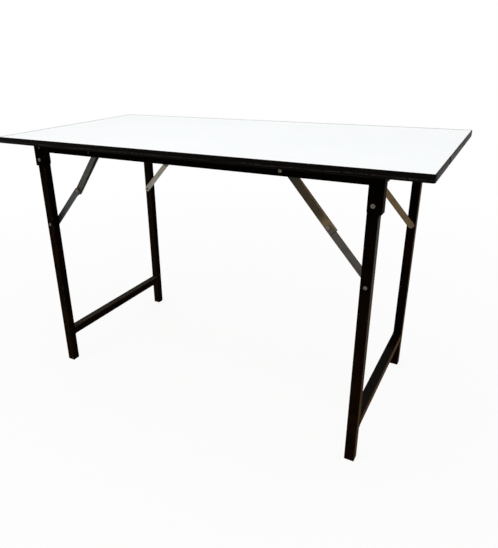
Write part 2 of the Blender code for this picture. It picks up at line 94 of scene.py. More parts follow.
def timesVector(first, second):
    return result(treeOf(first), "ShaderNodeVectorMath", {0: first, 1: second}, operation="MULTIPLY")


def split(vector):
    return addNode(treeOf(vector), "ShaderNodeSeparateXYZ", {0: vector}).outputs


def combine(tree, x=0.0, y=0.0, z=0.0):
    return result(tree, "ShaderNodeCombineXYZ", {"X": x, "Y": y, "Z": z})


def attribute(tree, name, output="Vector"):
    return addNode(tree, "ShaderNodeAttribute", attribute_name=name).outputs[output]


def noise(place, scale, detail=2.0, stretch=None):
    if stretch:
        place = result(treeOf(place), "ShaderNodeMapping", {"Vector": place, "Scale": stretch})
    return result(treeOf(place), "ShaderNodeTexNoise", {"Vector": place, "Scale": scale, "Detail": detail})


def remap(value, fromLow, fromHigh, toLow=0.0, toHigh=1.0):
    sizes = {"Value": value, "From Min": fromLow, "From Max": fromHigh, "To Min": toLow, "To Max": toHigh}
    return result(treeOf(value), "ShaderNodeMapRange", sizes)


def spread(pattern, ends):         # a noise pattern's middle range, spread between two values
    return remap(pattern, 0.3, 0.7, *ends)


def fade(value, start, end):       # from one at the start to nothing at the end
    return remap(value, start, end, 1.0, 0.0)


def mixColour(share, first, second):
    ends = [(*colour, 1.0) if isinstance(colour, tuple) else colour for colour in (first, second)]
    return addNode(treeOf(share), "ShaderNodeMix", {0: share, 6: ends[0], 7: ends[1]}, data_type="RGBA").outputs[2]


def bump(height, strength, distance=relief, under=None):
    inputs = {"Strength": strength, "Distance": distance, "Height": height}
    if under:
        inputs["Normal"] = under
    return result(treeOf(height), "ShaderNodeBump", inputs)


shaderSockets = {         # haze is a thin film of dust that shows along the faces seen edge-on
    "metallic": "Metallic", "gloss": "Specular IOR Level", "glossTint": "Specular Tint",
    "haze": "Sheen Weight", "hazeTint": "Sheen Tint", "hazeRoughness": "Sheen Roughness",
}


def newFinish(name, look):
    material = bpy.data.materials.new(name)
    material.use_nodes = True
    tree = material.node_tree
    for setting, label in shaderSockets.items():
        if setting in look:
            value = look[setting]
            socket = tree.nodes["Principled BSDF"].inputs[label]
            socket.default_value = (*value, 1.0) if isinstance(value, tuple) else value
    return material, addNode(tree, "ShaderNodeTexCoord").outputs["Object"]


def wire(material, colour, roughness, normal):
    tree = material.node_tree
    for label, value in (("Base Color", colour), ("Roughness", roughness), ("Normal", normal)):
        tree.links.new(value, tree.nodes["Principled BSDF"].inputs[label])
    return material


# In the finishes' looks, a pattern is a scale, a detail and a stretch, and a range is two ends and their results

# White laminate: fine pearl texture, faint cloudiness, wiped streaks and a few hairline scuffs
laminateLook = {
    "white": (0.890, 0.914, 0.917),
    "cloud": (0.866, 0.890, 0.896),
    "scuff": (0.760, 0.775, 0.775),
    "roughness": (0.30, 0.42),
    "gloss": 0.30,
    "clouds": (3.5, 4.0),
    "cloudRange": (0.35, 0.70),
    "wipes": (7.0, 3.0, (1.0, 6.0, 1.0)),
    "hairs": (60.0, 1.0, (1.0, 24.0, 1.0)),
    "hairRange": (0.74, 0.78, 0.0, 0.5),
    "pearl": (1100.0, 2.0),
    "relief": 0.10,
}


def makeLaminate():
    look = laminateLook
    material, place = newFinish("whiteLaminate", look)
    clouds = noise(place, *look["clouds"])
    colour = mixColour(remap(clouds, *look["cloudRange"]), look["white"], look["cloud"])
    hairs = remap(noise(place, *look["hairs"]), *look["hairRange"])
    colour = mixColour(times(hairs, clouds), colour, look["scuff"])
    rough = spread(noise(place, *look["wipes"]), look["roughness"])
    return wire(material, colour, rough, bump(noise(place, *look["pearl"]), look["relief"]))


# Raw chipboard: pressed flakes of two sizes with dark specks
chipboardLook = {
    "flake": (0.470, 0.330, 0.190),
    "pale": (0.640, 0.490, 0.310),
    "dark": (0.210, 0.130, 0.070),
    "roughness": (0.72, 0.92),
    "gloss": 0.25,
    "flakeScale": 190.0,
    "flakeStretch": (1.0, 0.45, 1.0),
    "flakeDepth": 0.4 * mm,
    "chipScale": 420.0,
    "speckRange": (0.72, 0.95, 0.0, 0.7),
    "relief": 0.35,
}


def makeChipboard():
    look = chipboardLook
    material, place = newFinish("rawChipboard", look)
    tree = treeOf(place)
    stretched = timesVector(place, look["flakeStretch"])
    flakes = addNode(tree, "ShaderNodeTexVoronoi", {"Vector": stretched, "Scale": look["flakeScale"]}).outputs
    chips = addNode(tree, "ShaderNodeTexVoronoi", {"Vector": place, "Scale": look["chipScale"]}).outputs
    tone = result(tree, "ShaderNodeSeparateColor", {0: flakes["Color"]})
    speck = addNode(tree, "ShaderNodeSeparateColor", {0: chips["Color"]}).outputs[1]
    colour = mixColour(tone, look["flake"], look["pale"])
    colour = mixColour(remap(speck, *look["speckRange"]), colour, look["dark"])
    rough = remap(speck, 0.0, 1.0, *look["roughness"])
    return wire(material, colour, rough, bump(flakes["Distance"], look["relief"], look["flakeDepth"]))


# Black plastic edge strip: drawn lengthwise, so its streaks follow the strip
stripLook = {
    "black": (0.0018, 0.0013, 0.0011),
    "grey": (0.0110, 0.0092, 0.0084),
    # the light line along the strip's lower part: scuffs and a painted highlight
    "scuffAndHighlight": (0.0700, 0.0640, 0.0620),
    "scuffAndHighlightLevel": 0.7385,      # height of the scuffs and painted highlight along the strip's lower part
    "scuffAndHighlightReach": 1.6 * mm,
    "scuffAndHighlightWander": 1.2 * mm,
    "roughness": (0.42, 0.56),
    "gloss": 0.018,
    "glossTint": (1.0, 0.88, 0.80),
    "haze": 0.07,
    "hazeTint": (1.0, 0.82, 0.64),
    "hazeRoughness": 0.2,
    "streaks": (30.0, 3.0, (0.5, 40.0, 40.0)),
    "streakRange": (0.42, 0.75),
    "streakRelief": 0.06,
    "handling": (9.0, 4.0),
    "wander": (9.0, 2.0, (1.0, 0.0, 0.0)),
    "patches": (4.0, 3.0),
    "patchRange": (0.44, 0.62),
    "specks": (160.0, 3.0),
    "speckRange": (0.36, 0.62),
    "grain": (1500.0, 1.0),
    "relief": 0.04,
}


def makeStripPlastic():
    look = stripLook
    material, place = newFinish("edgeStripPlastic", look)
    along = attribute(treeOf(place), "spot")
    streaks = noise(along, *look["streaks"])
    handling = noise(along, *look["handling"])
    colour = mixColour(times(remap(streaks, *look["streakRange"]), handling), look["black"], look["grey"])
    # A light line at one height along the strip, broken into patches and specks: scuffs and a painted highlight
    wander = spread(noise(along, *look["wander"]), (-look["scuffAndHighlightWander"], look["scuffAndHighlightWander"]))
    away = calc("ABSOLUTE", calc("SUBTRACT", calc("ADD", split(place)["Z"], wander), look["scuffAndHighlightLevel"]))
    patches = remap(noise(along, *look["patches"]), *look["patchRange"])
    specks = remap(noise(along, *look["specks"]), *look["speckRange"])
    colour = mixColour(times(fade(away, 0.0, look["scuffAndHighlightReach"]), patches, specks), colour, look["scuffAndHighlight"])
    drawn = bump(streaks, look["streakRelief"])
    grain = bump(noise(place, *look["grain"]), look["relief"], under=drawn)
    return wire(material, colour, spread(handling, look["roughness"]), grain)


# Black paint on steel: orange peel, rubbed edges, dust towards the floor, and painted reflection on the legs' faces
# towards the table's ends and on the crossbars' tops
paintLook = {
    "black": (0.0011, 0.0008, 0.0005),
    "bare": (0.0500, 0.0460, 0.0410),          # in place of black where a head is worn
    "rubbed": (0.0160, 0.0120, 0.0080),
    "dust": (0.0192, 0.0069, 0.0026),
    "dustTop": 0.70,
    "inwardShare": 0.45,                       # of the dust on the faces towards the table's middle
    "cleanShare": 0.75,                        # of the dust that is missing low on the right back leg
    "cleanTop": (0.15, 0.50),
    "legBack": 0.2,                            # the back legs and brackets lie further back than this
    "frontDust": (0.0100, 0.0066, 0.0034),     # on the left legs' front and back faces
    "frontDustShares": (0.30, 1.0),            # on the front leg and on the back leg
    "frontDustTop": (0.60, 0.66),
    "leftTopDustAndReflection": (0.0340, 0.0300, 0.0240),   # dust and painted reflection on the crossbars' upward faces, lighter on the left one
    "rightTopDustAndReflection": (0.0084, 0.0080, 0.0070),
    "rightTopEnd": (0.115, 0.145),             # how far back the right one's dust and painted reflection go
    "sideReflection": (0.0640, 0.0570, 0.0510),      # painted reflection on the legs' faces towards the table's ends
    "sideReflectionLow": (0.0200, 0.0078, 0.0014),   # the same painted reflection near the floor, darker and warmer
    "sideReflectionLowTop": (0.28, 0.50),
    "sideReflectionTop": (0.635, 0.645),
    "roughness": (0.42, 0.56),
    "dustRoughness": 0.2,
    "gloss": 0.002,
    "glossTint": (1.0, 0.74, 0.55),
    "haze": 0.26,
    "hazeTint": (1.0, 0.56, 0.22),
    "hazeRoughness": 0.2,
    "patches": (16.0, 5.0),
    "patchRange": (0.30, 0.75, 0.15, 1.0),     # of the dust
    "frontPatchRange": (0.25, 0.70, 0.45, 1.0),
    "topPatchRange": (0.25, 0.60, 0.7, 1.0),
    "sidePatchRange": (0.25, 0.70, 0.5, 1.0),
    "grit": (260.0, 3.0),
    "gritRange": (0.35, 0.65, 0.25, 1.0),
    "gritRelief": 0.10,
    "rubs": (75.0, 4.0),
    "rubRange": (0.50, 0.66, 0.0, 0.8),
    "peel": (700.0, 1.5),
    "peelDepth": 0.15 * mm,
    "relief": 0.22,
}


def lyingAlong(share):       # one where a face looks straight along an axis, nothing where it is turned away
    return remap(share, 0.7, 0.95)


def makePaint(name, ground):
    look = paintLook
    material, place = newFinish(name, look)
    spot, facing = split(place), split(place.node.outputs["Normal"])
    height = spot["Z"]
    leftward = calc("LESS_THAN", spot["X"], 0.0)
    outward = times(calc("SIGN", spot["X"]), facing["X"])
    patches, grit = noise(place, *look["patches"]), noise(place, *look["grit"])

    dust = times(fade(height, 0.0, look["dustTop"]), remap(patches, *look["patchRange"]))
    dust = times(dust, remap(grit, *look["gritRange"]), remap(outward, -0.95, -0.70, look["inwardShare"], 1.0))
    rightBack = times(calc("GREATER_THAN", spot["X"], 0.0), calc("GREATER_THAN", spot["Y"], look["legBack"]))
    cleaned = times(rightBack, remap(height, *look["cleanTop"], look["cleanShare"], 0.0))
    dust = times(dust, calc("SUBTRACT", 1.0, cleaned))
    colour = mixColour(dust, look[ground], look["dust"])

    across = times(lyingAlong(calc("ABSOLUTE", facing["Y"])), leftward, fade(height, *look["frontDustTop"]))
    across = times(across, remap(spot["Y"], -0.1, 0.1, *look["frontDustShares"]))
    across = times(across, remap(patches, *look["frontPatchRange"]))
    colour = mixColour(across, colour, look["frontDust"])

    # Upward faces: dust, and a painted reflection that is lighter on the left crossbar than on the right
    upward = times(lyingAlong(facing["Z"]), remap(patches, *look["topPatchRange"]))
    rightTop = mixColour(remap(spot["Y"], *look["rightTopEnd"], 0.0, 0.9), look["rightTopDustAndReflection"], look["black"])
    colour = mixColour(upward, colour, mixColour(leftward, rightTop, look["leftTopDustAndReflection"]))

    # Faces towards the table's ends: a painted reflection, lighter higher up, darker and warmer near the floor
    aside = times(lyingAlong(outward), fade(height, *look["sideReflectionTop"]))
    aside = times(aside, remap(patches, *look["sidePatchRange"]))
    sideReflectionTone = mixColour(remap(height, *look["sideReflectionLowTop"]), look["sideReflectionLow"], look["sideReflection"])
    colour = mixColour(aside, colour, sideReflectionTone)

    rubs = remap(noise(place, *look["rubs"]), *look["rubRange"])
    colour = mixColour(times(attribute(treeOf(place), "wear", "Fac"), rubs), colour, look["rubbed"])
    rough = calc("ADD", spread(patches, look["roughness"]), times(dust, look["dustRoughness"]))
    gritty = bump(grit, look["gritRelief"])
    peel = bump(noise(place, *look["peel"]), look["relief"], look["peelDepth"], gritty)
    return wire(material, colour, rough, peel)


# Zinc plating: drawn streaks along each link, cloudy patches and warm stains, over the link's tone, which holds
# painted reflection and light
zincLook = {
    "metallic": 0.75,
    "gloss": 0.08,
    "light": (1.14, 1.12, 1.10),       # these three multiply the tone
    "dull": (0.88, 0.90, 0.92),
    "warm": (1.10, 0.98, 0.82),
    "jointGrime": (1.20, 0.92, 0.66),          # and this, on the lower link round its joint
    "lowerStart": 0.2,                         # where the lower link's joint lies in its pattern
    "grimeSpan": (-15.0 * mm, -13.0 * mm, 3.0 * mm, 10.0 * mm),
    "sheetRoughness": (0.36, 0.54),
    "rivetTone": (0.128, 0.108, 0.084),
    "jointTone": (0.150, 0.138, 0.118),
    # darker and duller, for the left rail's rivets
    "darkRivetTone": (0.0110, 0.0068, 0.0050),
    "centreShadeTone": (0.048, 0.042, 0.034),       # painted shade in the middle of each head, which leaves a ring of light round it
    "rimShadeTone": (0.0120, 0.0085, 0.0055),       # painted shade round the foot of each head
    "rivetRoughness": (0.20, 0.34),
    "darkRivetRoughness": (0.60, 0.80),
    "centreShadeRange": (0.12, 0.42),
    "rimShadeRange": (0.82, 1.0),
    "clouds": (70.0, 4.0),
    "cloudRange": (0.35, 0.65),
    "cloudRelief": 0.08,
    "stains": (24.0, 3.0),
    "stainRange": (0.48, 0.72, 0.0, 0.8),
    "sheetStreaks": (40.0, 3.0, (0.6, 30.0, 30.0)),
    "rivetStreaks": (40.0, 3.0, (6.0, 6.0, 6.0)),
    "relief": 0.14,
}


def makeZinc(name, rivetTone="rivetTone", roughness="rivetRoughness"):       # without a rivet's tone, for the links
    look = zincLook
    material, place = newFinish(name, look)
    tree = treeOf(place)
    if rivetTone:
        # Painted shade on each head: darker in its middle and round its foot
        rim = attribute(tree, "rim", "Fac")
        tone = mixColour(fade(rim, *look["centreShadeRange"]), look[rivetTone], look["centreShadeTone"])
        tone = mixColour(remap(rim, *look["rimShadeRange"]), tone, look["rimShadeTone"])
    else:
        place, tone = attribute(tree, "spot"), attribute(tree, "tone")
    clouds = noise(place, *look["clouds"])
    streaks = noise(place, *look["rivetStreaks" if rivetTone else "sheetStreaks"])
    stains = remap(noise(place, *look["stains"]), *look["stainRange"])
    shades = mixColour(remap(clouds, *look["cloudRange"]), look["light"], look["dull"])
    shades = mixColour(stains, shades, look["warm"])
    if not rivetTone:
        along = split(place)["X"]
        first, second, third, last = (look["lowerStart"] + step for step in look["grimeSpan"])
        grimy = times(remap(along, first, second), fade(along, third, last))
        shades = mixColour(grimy, shades, look["jointGrime"])
    drawn = bump(streaks, look["relief"], under=bump(clouds, look["cloudRelief"]))
    return wire(material, timesVector(shades, tone), spread(streaks, look[roughness]), drawn)


# A darker patch on the strip round its seam, and the foot plugs' plastic, scraped upwards
seamDarkLook = {
    "tones": ((0.0012, 0.0008, 0.0006), (0.0100, 0.0070, 0.0050)),         # black and brown
    "patches": (420.0, 3.0),
    "patchRange": (0.45, 0.70),
    "roughness": (0.70, 0.90),
    "gloss": 0.002,
    "relief": 0.3,
}
footLook = {
    "tones": ((0.0075, 0.0070, 0.0066), (0.0280, 0.0250, 0.0220)),         # black and scraped
    "patches": (190.0, 4.0, (1.0, 1.0, 0.4)),
    "patchRange": (0.55, 0.75),
    "roughness": (0.55, 0.75),
    "gloss": 0.3,
    "grain": (900.0, 2.0),
    "relief": 0.2,
}


def makePatchy(name, look):
    material, place = newFinish(name, look)
    patches = noise(place, *look["patches"])
    colour = mixColour(remap(patches, *look["patchRange"]), *look["tones"])
    grain = noise(place, *look["grain"]) if "grain" in look else patches
    return wire(material, colour, spread(patches, look["roughness"]), bump(grain, look["relief"]))


whiteLaminate = makeLaminate()
rawChipboard = makeChipboard()
stripPlastic = makeStripPlastic()
seamDarkening = makePatchy("seamDarkening", seamDarkLook)
blackPaint = makePaint("blackPaint", "black")
rubbedPaint = makePaint("rubbedPaint", "bare")
zincSheet = makeZinc("zincSheet", None, "sheetRoughness")
zincRivet = makeZinc("zincRivet")
jointRivet = makeZinc("jointRivet", "jointTone")
darkRivet = makeZinc("darkRivet", "darkRivetTone", "darkRivetRoughness")
footPlastic = makePatchy("footPlastic", footLook)
print("finishes made")


# Mesh helpers
def addObject(name, data):
    made = bpy.data.objects.new(name, data)
    bpy.context.scene.collection.objects.link(made)
    return made


def evaluatedMesh(piece):
    graph = bpy.context.evaluated_depsgraph_get()
    return bpy.data.meshes.new_from_object(
        piece.evaluated_get(graph), preserve_all_data_layers=True, depsgraph=graph)


def smooth(mesh):
    mesh.polygons.foreach_set("use_smooth", [True] * len(mesh.polygons))
    mesh.set_sharp_from_angle(angle=sharpAngle)
    return mesh


def softenEdges(piece, width):
    piece.data.polygons.foreach_set("use_smooth", [True] * len(piece.data.polygons))
    bevel = piece.modifiers.new("softEdges", "BEVEL")
    bevel.width = width
    bevel.segments = 2
    bevel.limit_method = "ANGLE"
    bevel.angle_limit = bevelAngle
    bevel.harden_normals = True
    mesh = evaluatedMesh(piece)
    piece.modifiers.clear()
    piece.data = mesh
    mesh.name = piece.name


def makePiece(name, mesh, finish, body, slot, *nodes, softness=0.0):
    mesh.name = name
    mesh.materials.clear()
    mesh.materials.append(finish)
    piece = addObject(name, mesh)
    if softness:
        softenEdges(piece, softness)
    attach(piece, body)
    if nodes:
        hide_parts(*nodes)


def addValues(mesh, name, values):       # a number or a vector for each point
    numbers = isinstance(values[0], (int, float))
    layer = mesh.attributes.new(name, "FLOAT" if numbers else "FLOAT_VECTOR", "POINT").data
    if numbers:
        layer.foreach_set("value", values)
    else:
        layer.foreach_set("vector", [number for value in values for number in value])


def endShape(shape, name):       # a mesh of a bmesh, with its faces outwards
    bmesh.ops.recalc_face_normals(shape, faces=shape.faces)
    mesh = bpy.data.meshes.new(name)
    shape.to_mesh(mesh)
    shape.free()
    return mesh


def mergeDoubles(mesh, reach):
    shape = bmesh.new()
    shape.from_mesh(mesh)
    bmesh.ops.remove_doubles(shape, verts=shape.verts, dist=reach)
    bmesh.ops.recalc_face_normals(shape, faces=shape.faces)
    shape.to_mesh(mesh)
    shape.free()
    return smooth(mesh)


# Joins rings of points, each to the next; wrapped, the last ring joins the first, or else both ends are capped
def loft(rings, wrapped=False):
    shape = bmesh.new()
    made = [[shape.verts.new(point) for point in ring] for ring in rings]
    count = len(rings[0])
    pairs = list(zip(made, made[1:])) + ([(made[-1], made[0])] if wrapped else [])
    for first, second in pairs:
        for spot in range(count):
            after = (spot + 1) % count
            shape.faces.new((first[spot], first[after], second[after], second[spot]))
    if not wrapped:
        shape.faces.new(made[0][::-1])
        shape.faces.new(made[-1])
    return endShape(shape, "loft")


# A sheet of even thickness from a grid of points on its middle surface and the grid of their normals
def sheetMesh(points, normals, thickness):
    shape = bmesh.new()
    top, under = (
        [[shape.verts.new(point + normal * thickness * way) for point, normal in zip(*pair)]
         for pair in zip(points, normals)] for way in (0.5, -0.5))
    lastRow, lastSpot = len(points) - 1, len(points[0]) - 1
    for layer in (top, under):
        for i in range(lastRow):
            for j in range(lastSpot):
                shape.faces.new((layer[i][j], layer[i + 1][j], layer[i + 1][j + 1], layer[i][j + 1]))
    rim = [(0, j) for j in range(lastSpot)] + [(i, lastSpot) for i in range(lastRow)]
    rim += [(lastRow, j) for j in range(lastSpot, 0, -1)] + [(i, 0) for i in range(lastRow, 0, -1)]
    for (i, j), (k, m) in zip(rim, rim[1:] + rim[:1]):
        shape.faces.new((top[i][j], top[k][m], under[k][m], under[i][j]))
    return endShape(shape, "sheet")


def wayAt(degrees):
    turn = math.radians(degrees)
    return math.cos(turn), math.sin(turn)


def arcPoints(centre, radius, start, end, steps):
    ways = [wayAt(start + (end - start) * step / steps) for step in range(steps + 1)]
    return [(centre[0] + radius * x, centre[1] + radius * y) for x, y in ways]


# Corners of a rectangle about the origin, each rounded, counter-clockwise from the right-hand side
def roundedCorners(halfX, halfY, radius, steps):
    return [
        arcPoints((signX * (halfX - radius), signY * (halfY - radius)), radius, 90 * index, 90 * index + 90, steps)
        for index, (signX, signY) in enumerate(cornerSigns)
    ]


def roundedOutline(halfX, halfY, radius, steps):
    return [point for corner in roundedCorners(halfX, halfY, radius, steps) for point in corner]


# The board: laminate sheet on the chipboard core, edge strip round both
board = {
    "cornerRadius": 5.0 * mm,
    "cornerSteps": 8,
    "laminateEdge": 0.15 * mm,
    "laminateDrop": 0.35 * mm,         # of the laminate's face below the strip's top
    "stripThickness": 2.2 * mm,
    "stripRounding": 0.7 * mm,
    "stripCrown": 0.25 * mm,
    "tongueDepth": 7.0 * mm,
    "tongueHeight": 1.6 * mm,
    "seamPlace": -0.122,
    "seamWidth": 0.5 * mm,
    "seamDip": 1.1 * mm,       # of the strip's ends, towards the seam
    "seamReach": 8.0 * mm,
    "seamSteps": 5,
    "seamDarkReach": 8.0 * mm,     # how far the darker patch reaches on each side of the seam
    "straightSteps": 12,
}


def makeLaminateSheet():
    low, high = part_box("top_laminate")
    outline = roundedOutline(high.x, high.y, board["cornerRadius"] / 2, board["cornerSteps"])
    mesh = loft([[(x, y, z) for x, y in outline] for z in (low.z, high.z - board["laminateDrop"])])
    makePiece("laminateSheet", mesh, whiteLaminate, "table_top", "laminate", "top_laminate",
              softness=board["laminateEdge"])


# Stations round the board's outline from the seam back to it: the run so far, a point, the way from there on
# which depths are set, and at a corner its signs
def stripStations(halfX, halfY):
    radius, steps = board["cornerRadius"], board["cornerSteps"]
    straightSteps, seamSteps = board["straightSteps"], board["seamSteps"]
    seam, gap = board["seamPlace"], board["seamWidth"] / 2
    innerX, innerY = halfX - radius, halfY - radius
    straights = [
        ((halfX, seam + gap), (halfX, innerY), (-1, 0)),
        ((innerX, halfY), (-innerX, halfY), (0, -1)),
        ((-halfX, innerY), (-halfX, -innerY), (1, 0)),
        ((-innerX, -halfY), (innerX, -halfY), (0, 1)),
        ((halfX, -innerY), (halfX, seam - gap), (-1, 0)),
    ]
    stations = []
    run = 0.0
    for index, (start, end, inward) in enumerate(straights):
        length = math.dist(start, end)
        shares = [step / straightSteps for step in range(1, straightSteps)]
        near = [board["seamReach"] * step / seamSteps / length for step in range(seamSteps + 1)]
        if index == 0:
            shares = near + shares
        elif index == len(cornerSigns):
            shares += [1.0 - share for share in reversed(near)]
        for share in shares:
            spot = [a + (b - a) * share for a, b in zip(start, end)]
            stations.append((run + length * share, spot, inward, None))
        run += length
        if index < len(cornerSigns):
            signX, signY = cornerSigns[index]
            for step in range(steps + 1):
                way = wayAt(90 * (index + step / steps))
                corner = (signX * innerX, signY * innerY)
                stations.append((run + radius * math.pi / 2 * step / steps, corner, way, (signX, signY)))
            run += radius * math.pi / 2
    return stations


def stripSection(low, high):       # depths inward and heights, from the strip's top face round to its tongue
    thickness, rounding, crown = board["stripThickness"], board["stripRounding"], board["stripCrown"]
    middle, half = (low + high) / 2, (high - low) / 2
    tongue = board["tongueHeight"] / 2
    reach = thickness + board["tongueDepth"]
    section = arcPoints((rounding + crown, high - rounding), rounding, 90, 180, 4)
    for share in (2 / 3, 1 / 3, 0, -1 / 3, -2 / 3):
        section.append((crown * share ** 2, middle + (half - rounding) * share))
    section += arcPoints((rounding + crown, low + rounding), rounding, 180, 270, 4)
    section += [(thickness, low), (thickness, middle - tongue), (reach, middle - tongue)]
    return section + [(reach, middle + tongue), (thickness, middle + tongue), (thickness, high)]


def makeEdgeStrip():
    low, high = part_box("edge_band")
    thickness, cornerRadius = board["stripThickness"], board["cornerRadius"]
    section = stripSection(low.z, high.z)
    stations = stripStations(high.x, high.y)
    rings, spots = [], []
    for run, spot, way, corner in stations:
        ring = []
        fromSeam = min(run, stations[-1][0] - run)
        dip = board["seamDip"] * max(0.0, 1.0 - fromSeam / board["seamReach"]) ** 2
        for depth, z in section:
            if depth < thickness:
                depth += dip * (1.0 - depth / thickness)
            if corner and depth >= cornerRadius:       # past the rounding's centre, the corner is square
                point = (corner[0] * (high.x - depth), corner[1] * (high.y - depth), z)
            else:
                far = cornerRadius - depth if corner else depth
                point = (spot[0] + way[0] * far, spot[1] + way[1] * far, z)
            ring.append(point)
            spots.append((run, depth, z))
        rings.append(ring)
    mesh = loft(rings)
    addValues(mesh, "spot", spots)
    mesh = mergeDoubles(mesh, mergeReach["strip"])
    makePiece("edgeStrip", mesh, stripPlastic, "table_top", "edge_strip", "edge_band")
    mesh.materials.append(seamDarkening)
    for face in mesh.polygons:
        if face.center.x > high.x - thickness and abs(face.center.y - board["seamPlace"]) < board["seamDarkReach"]:
            face.material_index = 1


makeLaminateSheet()
makeEdgeStrip()
frame["nodes"]["board_core"].data.materials.clear()
frame["nodes"]["board_core"].data.materials.append(rawChipboard)
print("board made")


# Square steel tube with rounded corners, open ends with broken edges, and a wear value along its corners
tube = {
    "cornerRadius": 1.8 * mm,
    "cornerSteps": 5,
    "wall": 1.2 * mm,
    "endChamfer": 0.25 * mm,
    "wearReach": 1.6 * mm,
    "edgeWear": 0.4,           # where a corner's rounding starts, of the wear in its middle
}


def tubeRing(half, radius):
    points, wear = [], []
    reach, steps = tube["wearReach"], tube["cornerSteps"]
    for corner, (signX, signY) in zip(roundedCorners(half, half, radius, steps), cornerSigns):
        before, after = Vector(corner[0]), Vector(corner[-1])
        down, back = Vector((0, -signY * reach)), Vector((-signX * reach, 0))
        early = before + (down if abs(before.x) > abs(before.y) else back)
        late = after + (back if abs(after.y) > abs(after.x) else down)
        points += [tuple(early)] + corner + [tuple(late)]
        wear += [0.0, tube["edgeWear"]] + [1.0] * (steps - 1) + [tube["edgeWear"], 0.0]
    return points, wear


def tubeMesh(low, high, along):
    axis = "xyz".index(along)
    across = [i for i in range(3) if i != axis]
    half, end = (high - low)[across[0]] / 2, (high - low)[axis] / 2
    chamfer, wall, reach = tube["endChamfer"], tube["wall"], 2 * tube["wearReach"]
    profile = [(chamfer, -end, 1), (0, chamfer - end, 1), (0, reach - end, 0), (0, end - reach, 0)]
    profile += [(0, end - chamfer, 1), (chamfer, end, 1), (wall - chamfer, end, 1), (wall, end - chamfer, 0)]
    profile += [(wall, chamfer - end, 0), (wall - chamfer, -end, 1)]
    rings, wear = [], []
    for inset, place, endWear in profile:
        ring, ringWear = tubeRing(half - inset, tube["cornerRadius"] - inset)
        spots = []
        for u, v in ring:
            spot = [0, 0, 0]
            spot[axis], spot[across[0]], spot[across[1]] = place, u, v
            spots.append(Vector(spot) + (low + high) / 2)
        rings.append(spots)
        wear += [max(value, endWear) if inset < wall else 0.0 for value in ringWear]
    mesh = loft(rings, wrapped=True)
    addValues(mesh, "wear", wear)
    return smooth(mesh)


def makeTube(name, node, along, body):
    makePiece(name, tubeMesh(*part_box(node), along), blackPaint, body, "black_steel", node)


for row in rows:
    makeTube("rail" + row.title(), "rail_" + row, "x", "table_top")
for side in sides:
    makeTube("endRail" + side.title(), "end_rail_" + side, "y", "table_top")
    makeTube(side + "Crossbar", side + "_crossbar", "y", side + "_leg_set")
    for row in rows:
        makeTube(side + "Leg" + row.title(), side + "_leg_" + row, "z", side + "_leg_set")
print("tubes made")


# Brackets: folded sheet channels round each leg's top, open towards the middle of the table
bracket = {
    "sheet": 2.0 * mm,
    "bend": 2.0 * mm,          # to the middle of the sheet
    "bendSteps": 6,
    "mouthRun": 5.0 * mm,      # the cut corner at the foot of each cheek's open edge
    "mouthRise": 8.0 * mm,
    "mouthSteps": 6,
    "wearReach": 3.0 * mm,
    "topWear": 0.6,
    "edgeSoftness": 0.35 * mm,
}


def makeBracket(side, row):
    node = "bracket_" + side + "_" + row
    low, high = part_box(node)
    sheet, bend, reach = bracket["sheet"], bracket["bend"], bracket["wearReach"]
    hand = sides[side]
    webX = (high.x if hand > 0 else -low.x) - sheet / 2
    mouthX = low.x if hand > 0 else -high.x
    cheek = (high.y - low.y) / 2 - sheet / 2
    y = (low.y + high.y) / 2
    path = []        # plan points of one half with their normals and how far the lower edge is cut back there
    for step in range(bracket["mouthSteps"] + 1):
        along, up = wayAt(90 * step / bracket["mouthSteps"])
        spot = (mouthX + bracket["mouthRun"] * (1 - along), cheek)
        path.append((spot, (0, 1), bracket["mouthRise"] * (1 - up)))
    path.append(((webX - bend, cheek), (0, 1), 0))
    for step in range(1, bracket["bendSteps"] + 1):
        way = wayAt(90 - 90 * step / bracket["bendSteps"])
        path.append(((webX - bend + bend * way[0], cheek - bend + bend * way[1]), way, 0))
    path += [((x, -spot), (nx, -ny), lift) for (x, spot), (nx, ny), lift in reversed(path)]
    points, normals, wear = [], [], []
    for (x, spot), (nx, ny), lift in path:
        levels = [low.z + lift, low.z + lift + reach, high.z - reach, high.z]
        points.append([Vector((hand * x, y + spot, z)) for z in levels])
        normals.append([Vector((hand * nx, ny, 0))] * len(levels))
        wear += [1.0, 0.0, 0.0, bracket["topWear"]]
    mesh = sheetMesh(points, normals, sheet)
    addValues(mesh, "wear", wear * 2)
    makePiece("bracket" + side.title() + row.title(), mesh, blackPaint, "table_top", "black_steel", node,
              softness=bracket["edgeSoftness"])


for side in sides:
    for row in rows:
        makeBracket(side, row)
print("brackets made")


# Stays: an upper angle link on the rail and a flat lower link on the leg
stay = {
    "upperWidth": 16.0 * mm,
    "lowerWidth": 18.5 * mm,
    "upperSheet": 1.6 * mm,
    "lowerSheet": 2.5 * mm,
    "flangeOffset": 10.0 * mm,
    "flangeDepth": 8.0 * mm,
    "flangeCut": {"left": 12.0 * mm, "right": 0.0},    # how far the flange stops short of the link's end
    "flangeShade": {"left_front": 3.0 * mm},   # how far the flange's tone runs onto the flat as painted shade beside the bend, at the rail
    "flangeEndReach": 20.0 * mm,
    "bend": 1.5 * mm,          # to the middle of the sheet
    "bendSteps": 5,
    "bendStart": (0.5 * mm, 0.35 * mm),        # how far the bend starts behind the round end, and more at each step
    "flangeStart": 2.6 * mm,
    "overhang": 17.5 * mm,     # of the upper link past its joint
    "cornerRound": 2.4 * mm,
    "cornerSteps": 5,
    "endSteps": 16,
    "lengthSteps": 36,
    "cutBand": (1.2 * mm, 0.7 * mm),           # rows of points near the cut end
    "edgeSoftness": 0.30 * mm,
    "rubReach": 14.0 * mm,
    "rubShift": 0.7,           # how far above the joint the links rub most, in reaches
    "rubShare": 0.85,
    "railReach": 50.0 * mm,
    "railFade": 1.4,           # how steeply the tone beside the rail ends
    "cutReach": 1.0 * mm,
    "cutTone": (0.012, 0.009, 0.006),          # of the upper link's cut end
    "endTone": (0.066, 0.062, 0.058),          # of the upper link past the joint
}
